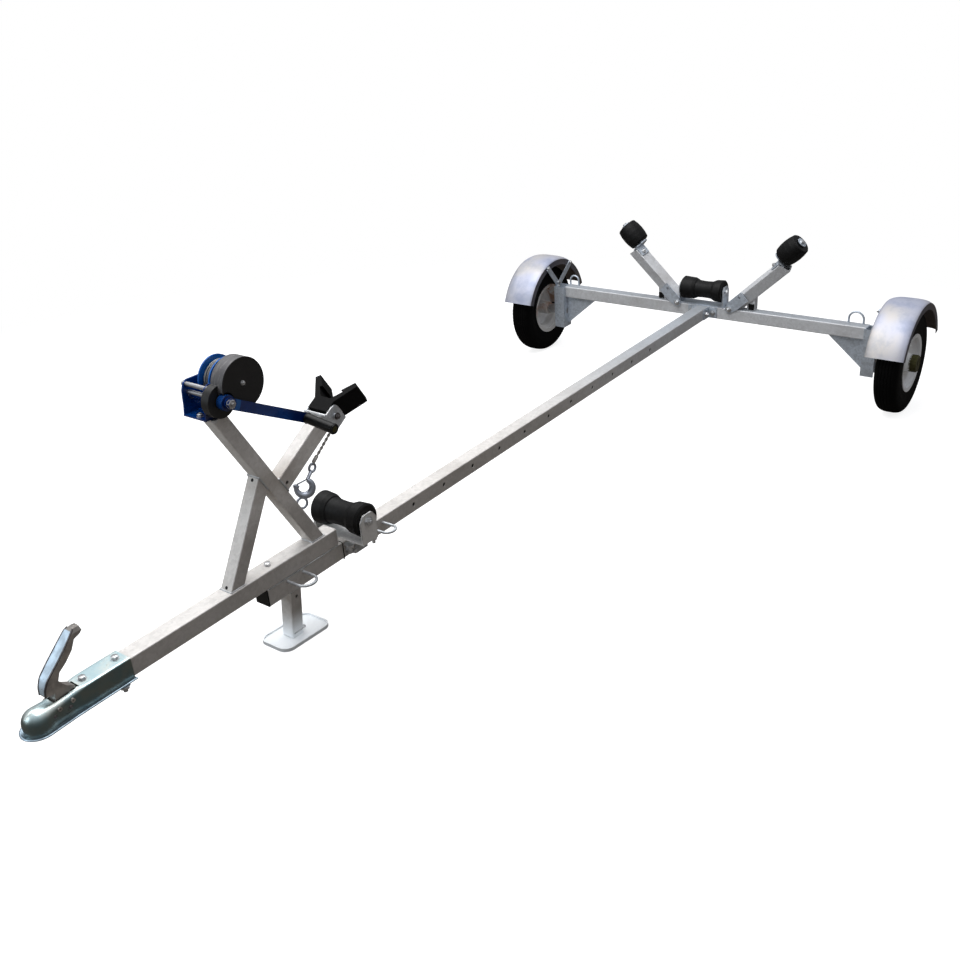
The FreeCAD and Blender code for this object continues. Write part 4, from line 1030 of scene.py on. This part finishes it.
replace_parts(add_piece("coupling_shell", shell, "chassis", pressing_zinc, 50.0),
            "coupling_body")

# %% Rolled lip
LIP_R, LIP_Y, LIP_Z = 39.5, 36, 319.5
nose = np.linspace(-np.pi / 2, np.pi / 2, 40)
lip = np.concatenate([[(2973, -LIP_Y, LIP_Z), (3128, -LIP_Y, LIP_Z)],
                      np.stack([DOME_X + LIP_R * np.cos(nose), LIP_R * np.sin(nose),
                                LIP_Z + 0 * nose], -1),
                      [(3128, LIP_Y, LIP_Z), (2973, LIP_Y, LIP_Z)]])
lip = smooth_path(lip, 3.0, 4)
flange = np.array([(-9.5, -2.2), (1.5, -2.2), (3.4, -0.6), (3.4, 1.4), (1.6, 2.6), (-1.0, 2.2),
                   (-2.5, 1.2), (-9.5, 1.2)])
lip_side, lip_top = frame_of(lip, UP)
lip_shape = closed(lip[:, None] + flange[None, :, :1] * lip_side[:, None]
                   + flange[None, :, 1:] * lip_top[:, None])
add_piece("coupling_lip", lip_shape, "chassis", lip_zinc, 60.0)

# %% Rivets, and the lever's rolled rims and face
heads = [lathe([(0, 5.0), (1.2, 4.8), (2.4, 3.4), (3.0, 1.6)], 24, (x, 27, z), LEFT)
         for x, z in ((3125, 357), (3157.5, 355), (3133, 344), (3172, 344))]
add_piece("coupling_rivets", both_sides(join(*heads)), "chassis", dark_zinc)
# The rolled rims are dark zinc: painted shade on the lever's sheet.
rims = [(3172, 11, 387), (3170, 12, 404), (3160, 14, 424), (3133, 15.4, 448.5), (3106, 15, 473),
        (3080, 12.5, 498.5), (3073, 9, 503)]
add_piece("lever_rims", both_sides(swept(smooth_path(rims, 3.0, 4), 2.3, LEFT, 10)), "chassis",
          dark_zinc)
# The face is the lighter copy of the lever's zinc: painted light.
blade = smooth_path([(x, 0, z) for x, z in ((3171.5, 390), (3169.8, 404.5), (3160.4, 423.5),
                                            (3107, 472.5), (3079, 500))], 3.0, 3)
face = np.array([(-9.5, -1), (9.5, -1), (9.5, 0.9), (0, 0.5), (-9.5, 0.9)])
blade_side = frame_of(blade, LEFT)[0]
spread = 1 + 0.52 * np.sin(np.pi * np.linspace(0.04, 0.93, len(blade))) ** 0.7
wide = face[None, :, :1] * spread[:, None, None] * np.array([0, 1.0, 0])
blade_shape = closed(blade[:, None] + face[None, :, 1:] * -blade_side[:, None] + wide)
add_piece("lever_face", blade_shape, "chassis", lit_lever_zinc, 60.0)

# %% [markdown]
# ## Rollers, brackets and wheels
#
# Pins end in washers and nuts, the clamp under the front roller has bright nuts, a thin dark band
# goes round the spine behind it, and wheels carry a knurled hub cap and a valve.


# %% Roller fittings
def on_side(s, n, x):
    """Along the left side arm from the beam's top, to its inboard face and to its front face."""
    tilt, twist = math.radians(43.0), math.radians(18.0)
    flat = np.array([0.0, -math.sin(tilt), math.cos(tilt)])
    side = flat * math.cos(twist) + np.array([math.sin(twist), 0, 0])
    front = np.array([math.cos(twist), 0, 0]) - flat * math.sin(twist)
    along = np.array([0, math.cos(tilt), math.sin(tilt)])
    return np.array([-26.5, 124.1, 318.0]) + s * along + n * side + x * front


pin_way = on_side(1, 0, 0) - on_side(0, 0, 0)
inboard = on_side(0, 1, 0) - on_side(0, 0, 0)
ends_of_pins = both_sides(join(bolt(on_side(402, 28, -17), pin_way, 17, 1.3),
                               bolt(on_side(262, 30, 2), inboard, 15, 1.4, 3)))
KEEL_FRONT_X, KEEL_REAR_X, KEEL_Z = 2240, -15, 382
keel_ends = [bolt((KEEL_FRONT_X, 91, KEEL_Z), LEFT, 19, 1.55, 3),
             bolt((KEEL_FRONT_X, -91, KEEL_Z), RIGHT, 19, 1.55, 3),
             bolt((KEEL_REAR_X, 91, KEEL_Z), LEFT, 17, 1.35, 2),
             bolt((KEEL_REAR_X, -113, KEEL_Z), RIGHT, 17, 1.35, 2)]
clamp_nuts = [*[bolt((2262, y, 286), way, 22, 1.4, 14) for y, way in ((25, LEFT), (-25, RIGHT))],
              *[bolt((2218, y, 318), DOWN, 17, 1.35, 9) for y in (80, -80)]]
ear_line = (30, 326), (30, 386), (16, 404), (-16, 404), (-30, 386), (-30, 326)
for x0, y0, x1 in ((KEEL_FRONT_X, 90.4, 30), (KEEL_FRONT_X, -90.4, 30),
                   (KEEL_REAR_X, 90.4, 25), (KEEL_REAR_X, -112.4, 25)):
    ear = smooth_path([(x0 + min(x, x1), y0, z) for x, z in ear_line], 2.0, 3)
    keel_ends.append(swept(ear, 1.3, LEFT, 8))
add_piece("roller_nuts", join(ends_of_pins, *keel_ends, *clamp_nuts), "chassis", nut_zinc)
band = [(2284, y, z) for y, z in ((26, 267), (26, 318.6), (-26, 318.6), (-26, 267))]
band = smooth_path([*band, band[0]], 6.0, 1)[:-1]
add_piece("clamp_band", swept(band, 1.3, FRONT, 6, True), "chassis", black_plastic)

# %% Hub caps and valves
def hub_cap(side):
    """Turned cap over the hub whose skirt is knurled: radius gains 0.5 mm at every ridge of 36."""
    h, r = np.array([(0, 28), (0, 33), (3, 33), (4, 33), (37.6, 33), (41.4, 30), (41.4, 24),
                     (40.6, 22), (40.6, 12), (41.6, 10)], float).T
    a = full_turn(144)
    knurl = 0.5 * np.sign(np.sin(36 * a)) * ((h > 3.5) & (h < 38))[:, None]
    ring = r[:, None] + knurl
    shape = np.stack([ring * np.cos(a), ring * np.sin(a), h[:, None] + 0 * ring], -1)
    return closed(stand(shape, (0, side * 856.0, AXLE_Z), (0, side, 0)))


for name, side in SIDES:
    add_piece("hub_cap_" + name, hub_cap(side), "wheel_" + name, olive, 40.0)
    stem = smooth_path([(-78.0, side * y, 200.0) for y in (828.0, 806.0)], 2.0, 2)
    valve = join(swept(stem, 3.2, UP, 10), rod(stem[-1], stem[-1] + (0, -6 * side, 0), 4.2))
    add_piece("valve_" + name, valve, "wheel_" + name, black_plastic)

# %% [markdown]
# ## Welds and holes
#
# A weld is a bead that swells and pinches every few millimetres as it goes round a joint. Vent
# holes for the zinc bath are small dark discs near the ends of the closed tubes: painted shade for
# the dark inside of each hole. Behind each cross hole of the spine a dark disc is painted shade for
# the inside of the tube.


# %% Weld beads
def weld(corners, radius=2.6, step=1.6):
    """Closed bead round four or more corners: r = radius (1 + 0.22 sin(2 pi s / 5.2 mm))."""
    path = smooth_path([*corners, corners[0]], step, 2)[:-1]
    s = np.arange(len(path)) * step
    u, v = np.subtract(corners[1], corners[0]), np.subtract(corners[2], corners[1])
    return swept(path, radius * (1 + 0.22 * np.sin(2 * np.pi * s / 5.2)), np.cross(u, v), 8, True)


def outline(centre, u, v):
    """Four corners of a joint about its centre."""
    return [centre + a * u + b * v for a, b in ((1, 1), (-1, 1), (-1, -1), (1, -1))]


Y20, X1 = np.array([0, 20.0, 0]), np.array([1.0, 0, 0])
join_at = POST_FOOT + 286.0 * ALONG_POST
brace_way = direction(-59.7)
brace_foot = join_at + brace_way * (join_at[2] - 368) / -brace_way[2]
beads = [weld(outline(POST_FOOT, 22.7 * X1, Y20)), weld(outline(brace_foot, 23.2 * X1, Y20)),
         weld(outline(join_at + 23.4 * brace_way, 23.4 * ALONG_POST, Y20)),
         weld(outline(ARM_FOOT + 20.0 * ALONG_ARM, 25.0 * ALONG_POST, Y20)),
         weld(outline(np.array([2466.0, 0, 268]), 20.5 * X1, Y20)),
         weld(outline(np.array([2475.0, 0, 144.0]), 20.5 * X1, Y20), 2.2)]
strap = swept(smooth_path([on_side(s, 29, 22) for s in (8, 86)], 1.6, 1), 2.3, LEFT, 8)
seams = [swept(smooth_path([(2300, y, 318), (2556, y, 318)], 60.0, 1), 1.3, UP, 6)
         for y in (25.2, -25.2)]
add_piece("weld_beads", join(*beads, both_sides(strap), *seams), "chassis", weld_zinc,
          60.0)

# %% Vent holes
brace_front = direction(30.3)
holes = [brace_foot + 3 * brace_way + 20 * brace_front, join_at + 21 * brace_way + 20 * brace_front]
# Dark discs on the brace: painted shade for the vent holes' insides.
add_piece("vent_hole_shades", join(*[lathe([(-1.0, 4.6), (0.15, 4.6)], 20, place, brace_front)
                               for place in holes]), "chassis", black_plastic)

# %% Painted shade for the dark inside of the spine behind its cross holes
HOLE_X, HOLE_PITCH, HOLE_COUNT, HOLE_Z, SHADE_Y = 526.5, 145.4, 11, 293.0, 22.4
# Dark discs inside the tube wall: painted shade seen through the holes.
shades = [lathe([(-0.5, 6.3), (0.0, 6.3)], 20, (HOLE_X + HOLE_PITCH * i, y, HOLE_Z), LEFT)
          for i in range(HOLE_COUNT) for y in (SHADE_Y, -SHADE_Y)]
add_piece("hole_shades", join(*shades), "chassis", black_plastic)
